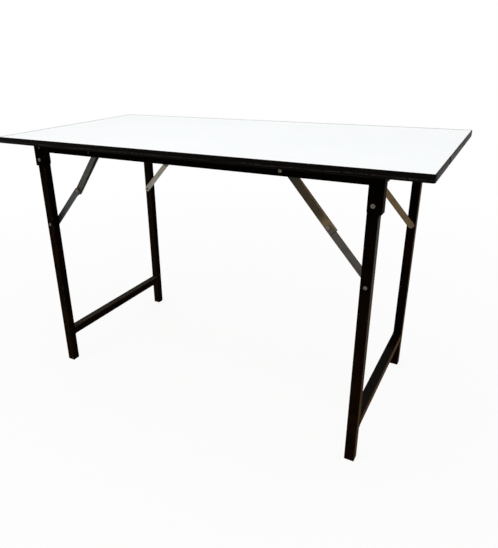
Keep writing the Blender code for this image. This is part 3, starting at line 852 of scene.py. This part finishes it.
# The stays are the same zinc, and their tones differ by painted reflection and light, lighter on the back stays. A
# part that isn't named has the upper link's tone; rubbed is above the joint, and rail is beside the rail
stayLitTones = {
    "left_front": {
        "upper": (0.060, 0.061, 0.056), "lower": (0.060, 0.065, 0.068), "rubbed": (0.050, 0.041, 0.027),
        "flange": (0.0020, 0.0012, 0.0006), "flangeEnd": (0.030, 0.019, 0.012),
    },
    "right_front": {
        "upper": (0.040, 0.031, 0.019), "lower": (0.073, 0.066, 0.058), "rubbed": (0.140, 0.105, 0.062),
        "flange": (0.190, 0.135, 0.075), "flangeEnd": (0.190, 0.135, 0.075), "rail": (0.020, 0.020, 0.017),
    },
    "left_back": {"upper": (0.270, 0.250, 0.210)},
    "right_back": {"upper": (0.140, 0.095, 0.049)},
}


def stayLitTone(stayName, part):
    tones = stayLitTones[stayName]
    return Vector(tones.get(part, tones["upper"]))


def clamp(share):
    return min(1.0, max(0.0, share))


def cutBack(rounding, inside):     # how far a rounded corner sets an edge back, so far inside its side
    inCorner = max(0.0, rounding - inside)
    return rounding - math.sqrt(max(0.0, rounding ** 2 - inCorner ** 2))


def stayPoints(stayName):        # on the rail, at the joint and on the leg
    anchor, joint = (Vector(joints[stayName + end]["pos_m"]) for end in ("_upper_turn", "_lower_turn"))
    side, row = stayName.split("_")
    low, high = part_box(side + "_leg_stay_rivet_" + row)
    return anchor, joint, (low + high) / 2


# Places a link that lies along +X in XY so that it stands in XZ from one point to another
def linkPlace(start, end, y):
    turn = Euler((math.pi / 2, -math.atan2(end.z - start.z, end.x - start.x), 0))
    return Matrix.Translation((start.x, y, start.z)) @ turn.to_matrix().to_4x4()


def fitLink(stayName, part, mesh, spots, tones, place):
    addValues(mesh, "spot", spots)
    addValues(mesh, "tone", tones)
    mesh.transform(place)
    name = stayName.title().replace("_", "")
    makePiece(name[0].lower() + name[1:] + part.title() + "Link", mesh, zincSheet, stayName + "_" + part + "_stay",
              "zinc", stayName + "_" + part + "_link", softness=stay["edgeSoftness"])


# Columns across the upper link: place, normal, and where the link starts and ends there
def upperColumns(far, flangeCut):
    bend, rounding = stay["bend"], stay["cornerRound"]
    lowEdge = -stay["upperWidth"] / 2
    wall = stay["flangeOffset"] + stay["upperSheet"] / 2       # middle plane of the flange
    tip = stay["flangeDepth"] - stay["upperSheet"] / 2
    radius = (wall + stay["upperSheet"] / 2 - lowEdge) / 2
    centre = lowEdge + radius
    columns = []
    for step in range(stay["endSteps"]):
        along, up = wayAt(180 * (1 - step / stay["endSteps"]))
        y = centre + radius * along
        if y > wall - bend:
            break
        back = max(cutBack(rounding, y - lowEdge), cutBack(flangeCut or rounding, wall - y))
        columns.append(((y, 0.0), (0.0, -1.0), -radius * up, far - back))
    start = -math.sqrt(radius ** 2 - (wall - bend - centre) ** 2)
    first, more = stay["bendStart"]
    for step in range(stay["bendSteps"] + 1):
        way = wayAt(90 * step / stay["bendSteps"] - 90)
        spot = (wall - bend + bend * way[0], bend + bend * way[1])
        columns.append((spot, way, start + first + step * more, far - flangeCut))
    start += stay["flangeStart"]
    for step in range(1, stay["cornerSteps"] + 1):
        along, up = wayAt(90 * step / stay["cornerSteps"])
        back = rounding * (1 - along)
        columns.append(((wall, tip - rounding + rounding * up), (1.0, 0.0), start + back, far - flangeCut - back))
    return columns, wall


def makeUpperLink(stayName):
    side, row = stayName.split("_")
    anchor, joint = stayPoints(stayName)[:2]
    low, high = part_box(stayName + "_upper_link")
    inward = rows[row]
    sheet = stay["upperSheet"]
    length = math.hypot(joint.x - anchor.x, joint.z - anchor.z)
    far = length + stay["overhang"]
    flangeEnd = far - stay["flangeCut"][side]
    columns, wall = upperColumns(far, stay["flangeCut"][side])
    upper, flange, flangeLast, rubbed, atRail = (
        stayLitTone(stayName, part) for part in ("upper", "flange", "flangeEnd", "rubbed", "rail"))
    shade = stay["flangeShade"].get(stayName, 0.0)
    steps = stay["lengthSteps"]
    band, lastBand = stay["cutBand"]
    points, normals, spots, tones = [], [], [], []
    for (y, z), (ny, nz), begin, end in columns:
        run = [begin + (end - band - begin) * step / steps for step in range(steps + 1)] + [end - lastBand, end]
        points.append([Vector((x, y, inward * z)) for x in run])
        normals.append([Vector((0, ny, inward * nz))] * len(run))
        for x in run:
            spots.append((x, y, z))
            past = (x - length) / stay["rubReach"]
            rub = stay["rubShare"] * math.exp(-(past + stay["rubShift"]) ** 2)
            tone = upper.lerp(Vector(stay["endTone"]), clamp(past)).lerp(rubbed, rub)
            tone = tone.lerp(atRail, clamp(stay["railFade"] * (1 - x / stay["railReach"])))
            # The flange, and on the left front stay a strip of the flat beside its bend, take the flange's tone:
            # painted reflection on the right front stay, painted shade on the left front one
            if ny > 0.5 or y > wall - shade * (1 - x / length):
                tone = flange.lerp(flangeLast, max(0.0, 1 - (flangeEnd - x) / stay["flangeEndReach"]))
            if end - x < stay["cutReach"]:
                tone = Vector(stay["cutTone"])
            tones.append(tone)
    mesh = sheetMesh(points, normals, sheet)
    place = linkPlace(anchor, joint, low.y + sheet / 2 if inward < 0 else high.y - sheet / 2)
    fitLink(stayName, "upper", mesh, spots * 2, tones * 2, place)


def makeLowerLink(stayName):
    joint, pin = stayPoints(stayName)[1:]
    low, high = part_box(stayName + "_lower_link")
    length = math.hypot(pin.x - joint.x, pin.z - joint.z)
    radius, half, steps = stay["lowerWidth"] / 2, stay["lowerSheet"] / 2, stay["endSteps"]
    outline = arcPoints((length, 0), radius, -90, 90, steps) + arcPoints((0, 0), radius, 90, 270, steps)
    mesh = loft([[(x, y, z) for x, y in outline] for z in (-half, half)])
    spots = [(x + zincLook["lowerStart"], y, z) for z in (-half, half) for x, y in outline]
    tones = [stayLitTone(stayName, "lower")] * len(spots)
    fitLink(stayName, "lower", mesh, spots, tones, linkPlace(joint, pin, (low.y + high.y) / 2))


for stayName in [side + "_" + row for side in sides for row in rows]:
    makeUpperLink(stayName)
    makeLowerLink(stayName)
print("stays made")


# Geometry Nodes: trees for rivets, screws, weld beads and foot ribs
def shaped(tree, kind, inputs=None, **settings):
    return result(tree, "GeometryNode" + kind, inputs, **settings)


def newTree(name, inputs):
    tree = bpy.data.node_groups.new(name, "GeometryNodeTree")
    kinds = {float: "NodeSocketFloat", int: "NodeSocketInt", type(None): "NodeSocketMaterial"}
    tree.interface.new_socket("Geometry", in_out="INPUT", socket_type="NodeSocketGeometry")
    for label, value in inputs.items():
        socket = tree.interface.new_socket(label, in_out="INPUT", socket_type=kinds[type(value)])
        if value is not None:
            socket.default_value = value
    tree.interface.new_socket("Geometry", in_out="OUTPUT", socket_type="NodeSocketGeometry")
    return tree, tree.nodes.new("NodeGroupInput").outputs


def endTree(tree, made, given):
    whole = shaped(tree, "RealizeInstances", {0: made})
    painted = shaped(tree, "SetMaterial", {0: whole, "Material": given["Finish"]})
    addNode(tree, "NodeGroupOutput", {0: painted})
    return tree


# Bakes a tree's result on a base mesh into a plain piece
def grow(name, base, tree, values, *fitting):
    holder = addObject(name + "Base", base)
    modifier = holder.modifiers.new(tree.name, "NODES")
    modifier.node_group = tree
    for item in tree.interface.items_tree:
        if item.item_type == "SOCKET" and item.in_out == "INPUT" and item.name in values:
            modifier[item.identifier] = values[item.name]
    mesh = evaluatedMesh(holder)
    bpy.data.objects.remove(holder, do_unlink=True)
    makePiece(name, mergeDoubles(mesh, mergeReach["grown"]), values["Finish"], *fitting)


def pointBase(points, aims=None):        # without aims, all face up
    mesh = bpy.data.meshes.new("points")
    mesh.from_pydata(points, [], [])
    addValues(mesh, "aim", aims or [(0, 0, 1)] * len(points))
    return mesh


# A turned body: its outline runs through points of radius and height, and each dome curves from a rim to a pole
def profilePoint(tree, radius, height):
    return combine(tree, radius, -height if isinstance(height, float) else times(height, -1.0))


def profileLines(tree, outline):
    spots = [profilePoint(tree, radius, height) for radius, height in outline]
    return [shaped(tree, "CurvePrimitiveLine", {"Start": a, "End": b}) for a, b in zip(spots, spots[1:])]


def profileDome(tree, radius, rim, pole, bulge=0.55):
    handles = {
        "Resolution": 6,
        "Start": profilePoint(tree, radius, rim),
        "Start Handle": profilePoint(tree, radius, calc("ADD", rim, times(calc("SUBTRACT", pole, rim), bulge))),
        "End Handle": profilePoint(tree, times(radius, bulge), pole),
        "End": profilePoint(tree, 0.0, pole),
    }
    return shaped(tree, "CurvePrimitiveBezierSegment", handles)


def turnBody(tree, lines, turnSteps):
    joined = tree.nodes.new("GeometryNodeJoinGeometry")
    for line in lines:
        tree.links.new(line, joined.inputs[0])
    circle = shaped(tree, "CurvePrimitiveCircle", {"Resolution": turnSteps, "Radius": axisRadius})
    upright = shaped(tree, "SetCurveNormal", {0: circle}, mode="Z_UP")
    swept = shaped(tree, "CurveToMesh", {"Curve": upright, "Profile Curve": joined.outputs[0]})
    return shaped(tree, "MergeByDistance", {0: swept, "Distance": mergeReach["turned"]})


def markRim(tree, body, radius):       # keeps how near each point is to the head's edge, for the painted shade there
    place = split(shaped(tree, "InputPosition"))
    squares = calc("ADD", times(place["X"], place["X"]), times(place["Y"], place["Y"]))
    marked = {"Geometry": body, "Name": "rim", "Value": calc("DIVIDE", calc("SQRT", squares), radius)}
    return shaped(tree, "StoreNamedAttribute", marked, data_type="FLOAT", domain="POINT")


def placeOnPoints(tree, given, body):
    aim = shaped(tree, "InputNamedAttribute", {"Name": "aim"}, data_type="FLOAT_VECTOR")
    facing = result(tree, "FunctionNodeAlignRotationToVector", {"Vector": aim}, axis="Z")
    placed = {"Points": given["Geometry"], "Instance": body, "Rotation": facing}
    return shaped(tree, "InstanceOnPoints", placed)


def makeRivetTree():
    tree, given = newTree("rivetTree", {
        "Shank Radius": 3.0 * mm, "Grip": 20.0 * mm, "Head Radius": 5.8 * mm, "Head Height": 3.0 * mm,
        "Tail Radius": 5.8 * mm, "Tail Height": 2.1 * mm, "Lip": 0.5 * mm,
        "Collar Radius": 6.5 * mm, "Collar Start": 0.0, "Collar End": 0.0, "Turn Steps": 28, "Finish": None,
    })
    shank, grip, head, tail = (given[n] for n in ("Shank Radius", "Grip", "Head Radius", "Tail Radius"))
    collar, first, last = (given[n] for n in ("Collar Radius", "Collar Start", "Collar End"))
    headPole = times(given["Head Height"], -1.0)
    headRim = calc("MAXIMUM", times(given["Lip"], -1.0), headPole)
    tailPole = calc("ADD", grip, given["Tail Height"])
    tailRim = calc("MINIMUM", calc("ADD", grip, given["Lip"]), tailPole)
    lines = profileLines(tree, [
        (head, headRim), (head, 0.0), (shank, 0.0), (shank, first), (collar, first), (collar, last),
        (shank, last), (shank, grip), (tail, grip), (tail, tailRim)])
    lines += [profileDome(tree, head, headRim, headPole), profileDome(tree, tail, tailRim, tailPole)]
    body = markRim(tree, turnBody(tree, lines, given["Turn Steps"]), calc("MAXIMUM", head, tail))
    return endTree(tree, placeOnPoints(tree, given, body), given)


def makeScrewTree():
    tree, given = newTree("crossScrewTree", {
        "Head Radius": 4.5 * mm, "Head Height": 2.4 * mm, "Lip": 0.6 * mm, "Shank Radius": 2.1 * mm,
        "Length": 37.0 * mm, "Point": 4.0 * mm, "Recess Span": 4.6 * mm, "Recess Width": 0.95 * mm,
        "Recess Depth": 1.6 * mm, "Turn Steps": 28, "Finish": None,
    })
    head, shank, length = (given[n] for n in ("Head Radius", "Shank Radius", "Length"))
    rim, pole = times(given["Lip"], -1.0), times(given["Head Height"], -1.0)
    shoulder = calc("SUBTRACT", length, given["Point"])
    lines = profileLines(tree, [(head, rim), (head, 0.0), (shank, 0.0), (shank, shoulder), (0.0, length)])
    body = turnBody(tree, lines + [profileDome(tree, head, rim, pole)], given["Turn Steps"])
    cross = addNode(tree, "GeometryNodeMeshBoolean", {"Mesh 1": body}, operation="DIFFERENCE")
    for across, along in (("Recess Span", "Recess Width"), ("Recess Width", "Recess Span")):
        size = combine(tree, given[across], given[along], times(given["Recess Depth"], 2.0))
        bar = shaped(tree, "MeshCube", {"Size": size})
        bar = shaped(tree, "Transform", {"Geometry": bar, "Translation": combine(tree, z=pole)})
        tree.links.new(bar, cross.inputs["Mesh 2"])
    return endTree(tree, placeOnPoints(tree, given, markRim(tree, cross.outputs[0], head)), given)


def makeWeldTree():
    tree, given = newTree("weldBeadTree", {
        "Bead Radius": 1.3 * mm, "Ripple Pitch": 1.5 * mm, "Ripple Depth": 0.22, "Finish": None,
    })
    pitch, depth = given["Ripple Pitch"], given["Ripple Depth"]
    line = shaped(tree, "MeshToCurve", {0: given["Geometry"]})
    fine = {0: line, "Length": calc("DIVIDE", pitch, 5.0)}         # five points to a ripple
    line = shaped(tree, "ResampleCurve", fine, mode="LENGTH")
    run = tree.nodes.new("GeometryNodeSplineParameter").outputs["Length"]
    wave = calc("ABSOLUTE", calc("SINE", calc("DIVIDE", times(run, math.pi), pitch)))
    swell = calc("ADD", calc("SUBTRACT", 1.0, depth), times(wave, depth))
    circle = shaped(tree, "CurvePrimitiveCircle", {"Resolution": 10, "Radius": 1.0})
    bead = shaped(tree, "CurveToMesh", {
        "Curve": line, "Profile Curve": circle, "Scale": times(swell, given["Bead Radius"]), "Fill Caps": True})
    return endTree(tree, bead, given)


def makeRibTree():
    tree, given = newTree("footRibTree", {
        "Count": 5, "Pitch": 4.0 * mm, "Width": 1.6 * mm, "Length": 18.0 * mm, "Height": 1.0 * mm, "Finish": None,
    })
    pitch = given["Pitch"]
    start = times(calc("SUBTRACT", given["Count"], 1.0), -0.5, pitch)
    places = shaped(tree, "MeshLine", {
        "Count": given["Count"], "Start Location": combine(tree, start), "Offset": combine(tree, pitch)})
    size = combine(tree, given["Width"], given["Length"], given["Height"])
    bar = shaped(tree, "MeshCube", {"Size": size})
    row = shaped(tree, "InstanceOnPoints", {"Points": places, "Instance": bar})
    placed = shaped(tree, "InstanceOnPoints", {"Points": given["Geometry"], "Instance": row})
    return endTree(tree, placed, given)


rivetTree = makeRivetTree()
screwTree = makeScrewTree()
weldTree = makeWeldTree()
ribTree = makeRibTree()

rivet = {
    "order": ("Shank Radius", "Head Radius", "Head Height", "Tail Radius", "Tail Height"),
    "pivot": (4.0, 5.3, 2.8, 5.3, 2.1),        # in mm, in that order, like the next five
    "rail": (3.0, 4.8, 2.6, 4.8, 2.1),
    "leg": (3.0, 4.8, 2.6, 3.0, 0.0),
    "joint": (3.0, 4.8, 2.1, 4.8, 2.1),
    "tail": (3.0, 3.0, 0.0, 4.8, 2.1),
    "blind": (2.0, 3.4, 1.2, 2.8, 6.0),
    "lip": 0.5 * mm,
    "collar": 6.5 * mm,
    "railCollarEnds": {"left": (25.6 * mm, 31.0 * mm), "right": (25.6 * mm, 28.2 * mm)},
    "legCollarEnds": {"left": (25.6 * mm, 28.2 * mm), "right": (25.6 * mm, 30.1 * mm)},
}


# Rivets of one kind on one body, each at its CAD node, with its head's seat found from the node's own box
def makeRivets(name, body, kind, nodes, finish=zincRivet, collarEnds=None, slot="zinc"):
    sizes = {label: value * mm for label, value in zip(rivet["order"], rivet[kind])}
    points, aims = [], []
    for node in nodes:
        low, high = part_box(node)
        inward = 1 if low.y < 0 else -1
        seat = (low.y if inward > 0 else high.y) + inward * sizes["Head Height"]
        points.append(((low.x + high.x) / 2, seat, (low.z + high.z) / 2))
        aims.append((0, inward, 0))
    values = {
        "Grip": high.y - low.y - sizes["Head Height"] - sizes["Tail Height"], "Lip": rivet["lip"],
        "Collar Radius": sizes["Shank Radius"], "Finish": finish, **sizes,
    }
    if collarEnds:
        values.update({"Collar Radius": rivet["collar"], "Collar Start": collarEnds[0], "Collar End": collarEnds[1]})
    grow(name, pointBase(points, aims), rivetTree, values, body, slot, *nodes)


def bothRows(start):
    return [start + row for row in rows]


pivotNodes = [node for side in sides for node in bothRows("pivot_rivet_" + side + "_")]
makeRivets("pivotRivets", "table_top", "pivot", pivotNodes)
for side in sides:
    blindFinish, railFinish = (rubbedPaint, darkRivet) if side == "left" else (blackPaint, zincRivet)
    makeRivets("bracketRivets" + side.title(), "table_top", "blind", bothRows("bracket_rivet_" + side + "_"),
               blindFinish, slot="black_steel")
    makeRivets("railStayRivets" + side.title(), "table_top", "rail", bothRows("rail_stay_rivet_" + side + "_"),
               railFinish, rivet["railCollarEnds"][side])
    makeRivets(side + "LegStayRivets", side + "_leg_set", "leg", bothRows(side + "_leg_stay_rivet_"),
               collarEnds=rivet["legCollarEnds"][side])
    for row in rows:
        stayName, pieceName = side + "_" + row, side + row.title()
        makeRivets(pieceName + "JointRivet", stayName + "_upper_stay", "joint", [stayName + "_joint_rivet"],
                   jointRivet)
        makeRivets(pieceName + "RivetTail", stayName + "_lower_stay", "tail", [stayName + "_rivet_tail"])
print("rivets made")

screw = {"head": 4.5 * mm, "dome": 2.4 * mm, "shank": 2.1 * mm}
screwNodes = [name for name in frame["nodes"] if name.startswith("top_screw_")]
screwPoints = []
for node in screwNodes:
    low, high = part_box(node)
    screwPoints.append(((low.x + high.x) / 2, (low.y + high.y) / 2, low.z + screw["dome"]))
grow("topScrews", pointBase(screwPoints), screwTree, {
    "Head Radius": screw["head"], "Head Height": screw["dome"], "Shank Radius": screw["shank"],
    "Length": high.z - low.z - screw["dome"], "Finish": zincRivet,
}, "table_top", "zinc", *screwNodes)
print("screws made")

weld = {"radius": 1.3 * mm, "endRailRadius": 1.1 * mm, "sink": 0.2 * mm, "cornerSteps": 3, "topGap": 2.0 * mm}


def makeWelds(name, body, lines, radius):
    points, edges = [], []
    for line in lines:
        edges += [(len(points) + i, len(points) + i + 1) for i in range(len(line) - 1)]
        points += line
    base = bpy.data.meshes.new("lines")
    base.from_pydata(points, edges, [])
    grow(name, base, weldTree, {"Bead Radius": radius, "Finish": blackPaint}, body, "black_steel")


for side in sides:
    low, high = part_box(side + "_crossbar")
    middle, half = (low + high) / 2, (high.z - low.z) / 2
    ring = roundedOutline(half, half, tube["cornerRadius"], weld["cornerSteps"])
    ring.append(ring[0])
    levels = (low.y + weld["sink"], high.y - weld["sink"])
    lines = [[(middle.x + u, y, middle.z + v) for u, v in ring] for y in levels]
    makeWelds(side + "CrossbarWelds", side + "_leg_set", lines, weld["radius"])
    low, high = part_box("end_rail_" + side)
    inner, outer = (low.x, high.x) if side == "right" else (high.x, low.x)
    top = high.z - weld["topGap"]
    lines = [[(outer, y, low.z), (inner, y, low.z), (inner, y, top)] for y in (low.y, high.y)]
    makeWelds("endRailWelds" + side.title(), "table_top", lines, weld["endRailRadius"])
print("weld beads made")

# Foot plugs: cups pushed into the legs, with ribs under their bases
plug = {
    "wall": 2.5 * mm,
    "base": 3.0 * mm,
    "corner": 0.8 * mm,
    "cornerSteps": 4,
    "edgeSoftness": 0.4 * mm,
    "ribHeight": 1.0 * mm,
    "ribLap": 0.1 * mm,        # of the ribs into the base
}


def makePlug(side, row):
    node = side + "_foot_plug_" + row
    low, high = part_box(node)
    middle = (low + high) / 2
    half = (high.x - low.x) / 2
    rings = []
    for inset, z in ((0.0, low.z + plug["ribHeight"]), (0.0, high.z), (plug["wall"], high.z),
                     (plug["wall"], low.z + plug["base"])):
        outline = roundedOutline(half - inset, half - inset, plug["corner"], plug["cornerSteps"])
        rings.append([(middle.x + u, middle.y + v, z) for u, v in outline])
    makePiece(side + "FootPlug" + row.title(), loft(rings), footPlastic, side + "_leg_set", "foot_plastic", node,
              softness=plug["edgeSoftness"])
    return (middle.x, middle.y, low.z + (plug["ribHeight"] + plug["ribLap"]) / 2)


for side in sides:
    points = [makePlug(side, row) for row in rows]
    grow(side + "FootRibs", pointBase(points), ribTree, {
        "Height": plug["ribHeight"] + plug["ribLap"], "Finish": footPlastic,
    }, side + "_leg_set", "foot_plastic")
print("feet made")

# Studio: white floor and backdrop, soft lamps, and the camera at the photograph's angle
studio = {
    "floorSize": 30.0,
    "floorDrop": 0.1 * mm,
    "floorTone": (0.93, 0.93, 0.93),
    "floorGlow": 0.90,         # of plain white in the floor near the table
    "glowReach": (1.0, 2.6),   # over which the floor turns all white
    "skyLevel": 0.62,
    "lampAim": (0.0, 0.0, 0.5),
    "lamps": {                 # place, size and power
        "topLamp": ((0.0, -0.4, 2.75), 3.2, 29.0),
        "sideLamp": ((2.4, 1.2, 1.6), 1.4, 5.0),
        "frontLamp": ((-1.1, -2.1, 2.1), 0.35, 5.0),
    },
}


def seenDirectly(tree):
    ray = tree.nodes.new("ShaderNodeLightPath").outputs
    return calc("MAXIMUM", ray["Is Camera Ray"], calc("MAXIMUM", ray["Is Glossy Ray"], ray["Is Transmission Ray"]))


def makeFloor():
    bpy.ops.mesh.primitive_plane_add(size=studio["floorSize"], location=(0, 0, -studio["floorDrop"]))
    floor = bpy.context.active_object
    floor.name = "studioFloor"
    material = bpy.data.materials.new("paleFloor")
    material.use_nodes = True
    tree = material.node_tree
    tree.nodes.clear()
    plain = result(tree, "ShaderNodeBsdfDiffuse", {"Color": (*studio["floorTone"], 1)})
    white = result(tree, "ShaderNodeEmission", {"Color": (1, 1, 1, 1), "Strength": 1.0})
    place = addNode(tree, "ShaderNodeTexCoord").outputs["Object"]
    distance = addNode(tree, "ShaderNodeVectorMath", {0: place}, operation="LENGTH").outputs["Value"]
    glow = remap(distance, *studio["glowReach"], studio["floorGlow"], 1.0)
    mixed = result(tree, "ShaderNodeMixShader", {0: times(seenDirectly(tree), glow), 1: plain, 2: white})
    addNode(tree, "ShaderNodeOutputMaterial", {"Surface": mixed})
    floor.data.materials.append(material)


def makeLight():
    world = bpy.data.worlds.new("studioWorld")
    bpy.context.scene.world = world
    world.use_nodes = True
    background = world.node_tree.nodes["Background"].inputs
    level = remap(seenDirectly(world.node_tree), 0.0, 1.0, studio["skyLevel"], 1.0)
    world.node_tree.links.new(level, background["Strength"])
    background["Color"].default_value = (1, 1, 1, 1)
    for name, (place, size, power) in studio["lamps"].items():
        lamp = bpy.data.lights.new(name, "AREA")
        lamp.size = size
        lamp.energy = power
        holder = addObject(name, lamp)
        holder.location = place
        aim = Vector(studio["lampAim"]) - Vector(place)
        holder.rotation_euler = aim.to_track_quat("-Z", "Y").to_euler()


# Camera fitted to the edges and rivets of the photograph; the shift is the photograph's own off-centre crop
cameraView = {
    "place": (0.7217, -1.2765, 0.9621),
    "turns": ((31.048, "Z"), (-22.557, "X"), (1.5, "Y"), (90, "X")),       # heading, dip, roll, and up to the level
    "lens": 33.37, "sensor": 36.0, "shiftX": 0.0594, "shiftY": -0.0190,
}


def makeCamera():
    data = bpy.data.cameras.new("photoCamera")
    data.lens = cameraView["lens"]
    data.sensor_width = cameraView["sensor"]
    data.shift_x = cameraView["shiftX"]
    data.shift_y = cameraView["shiftY"]
    camera = addObject("photoCamera", data)
    place = Matrix.Translation(cameraView["place"])
    for degrees, axis in cameraView["turns"]:
        place = place @ Matrix.Rotation(math.radians(degrees), 4, axis)
    camera.matrix_world = place
    bpy.context.scene.camera = camera


makeFloor()
makeLight()
makeCamera()
bpy.context.scene.view_settings.view_transform = "Standard"
print("studio made")
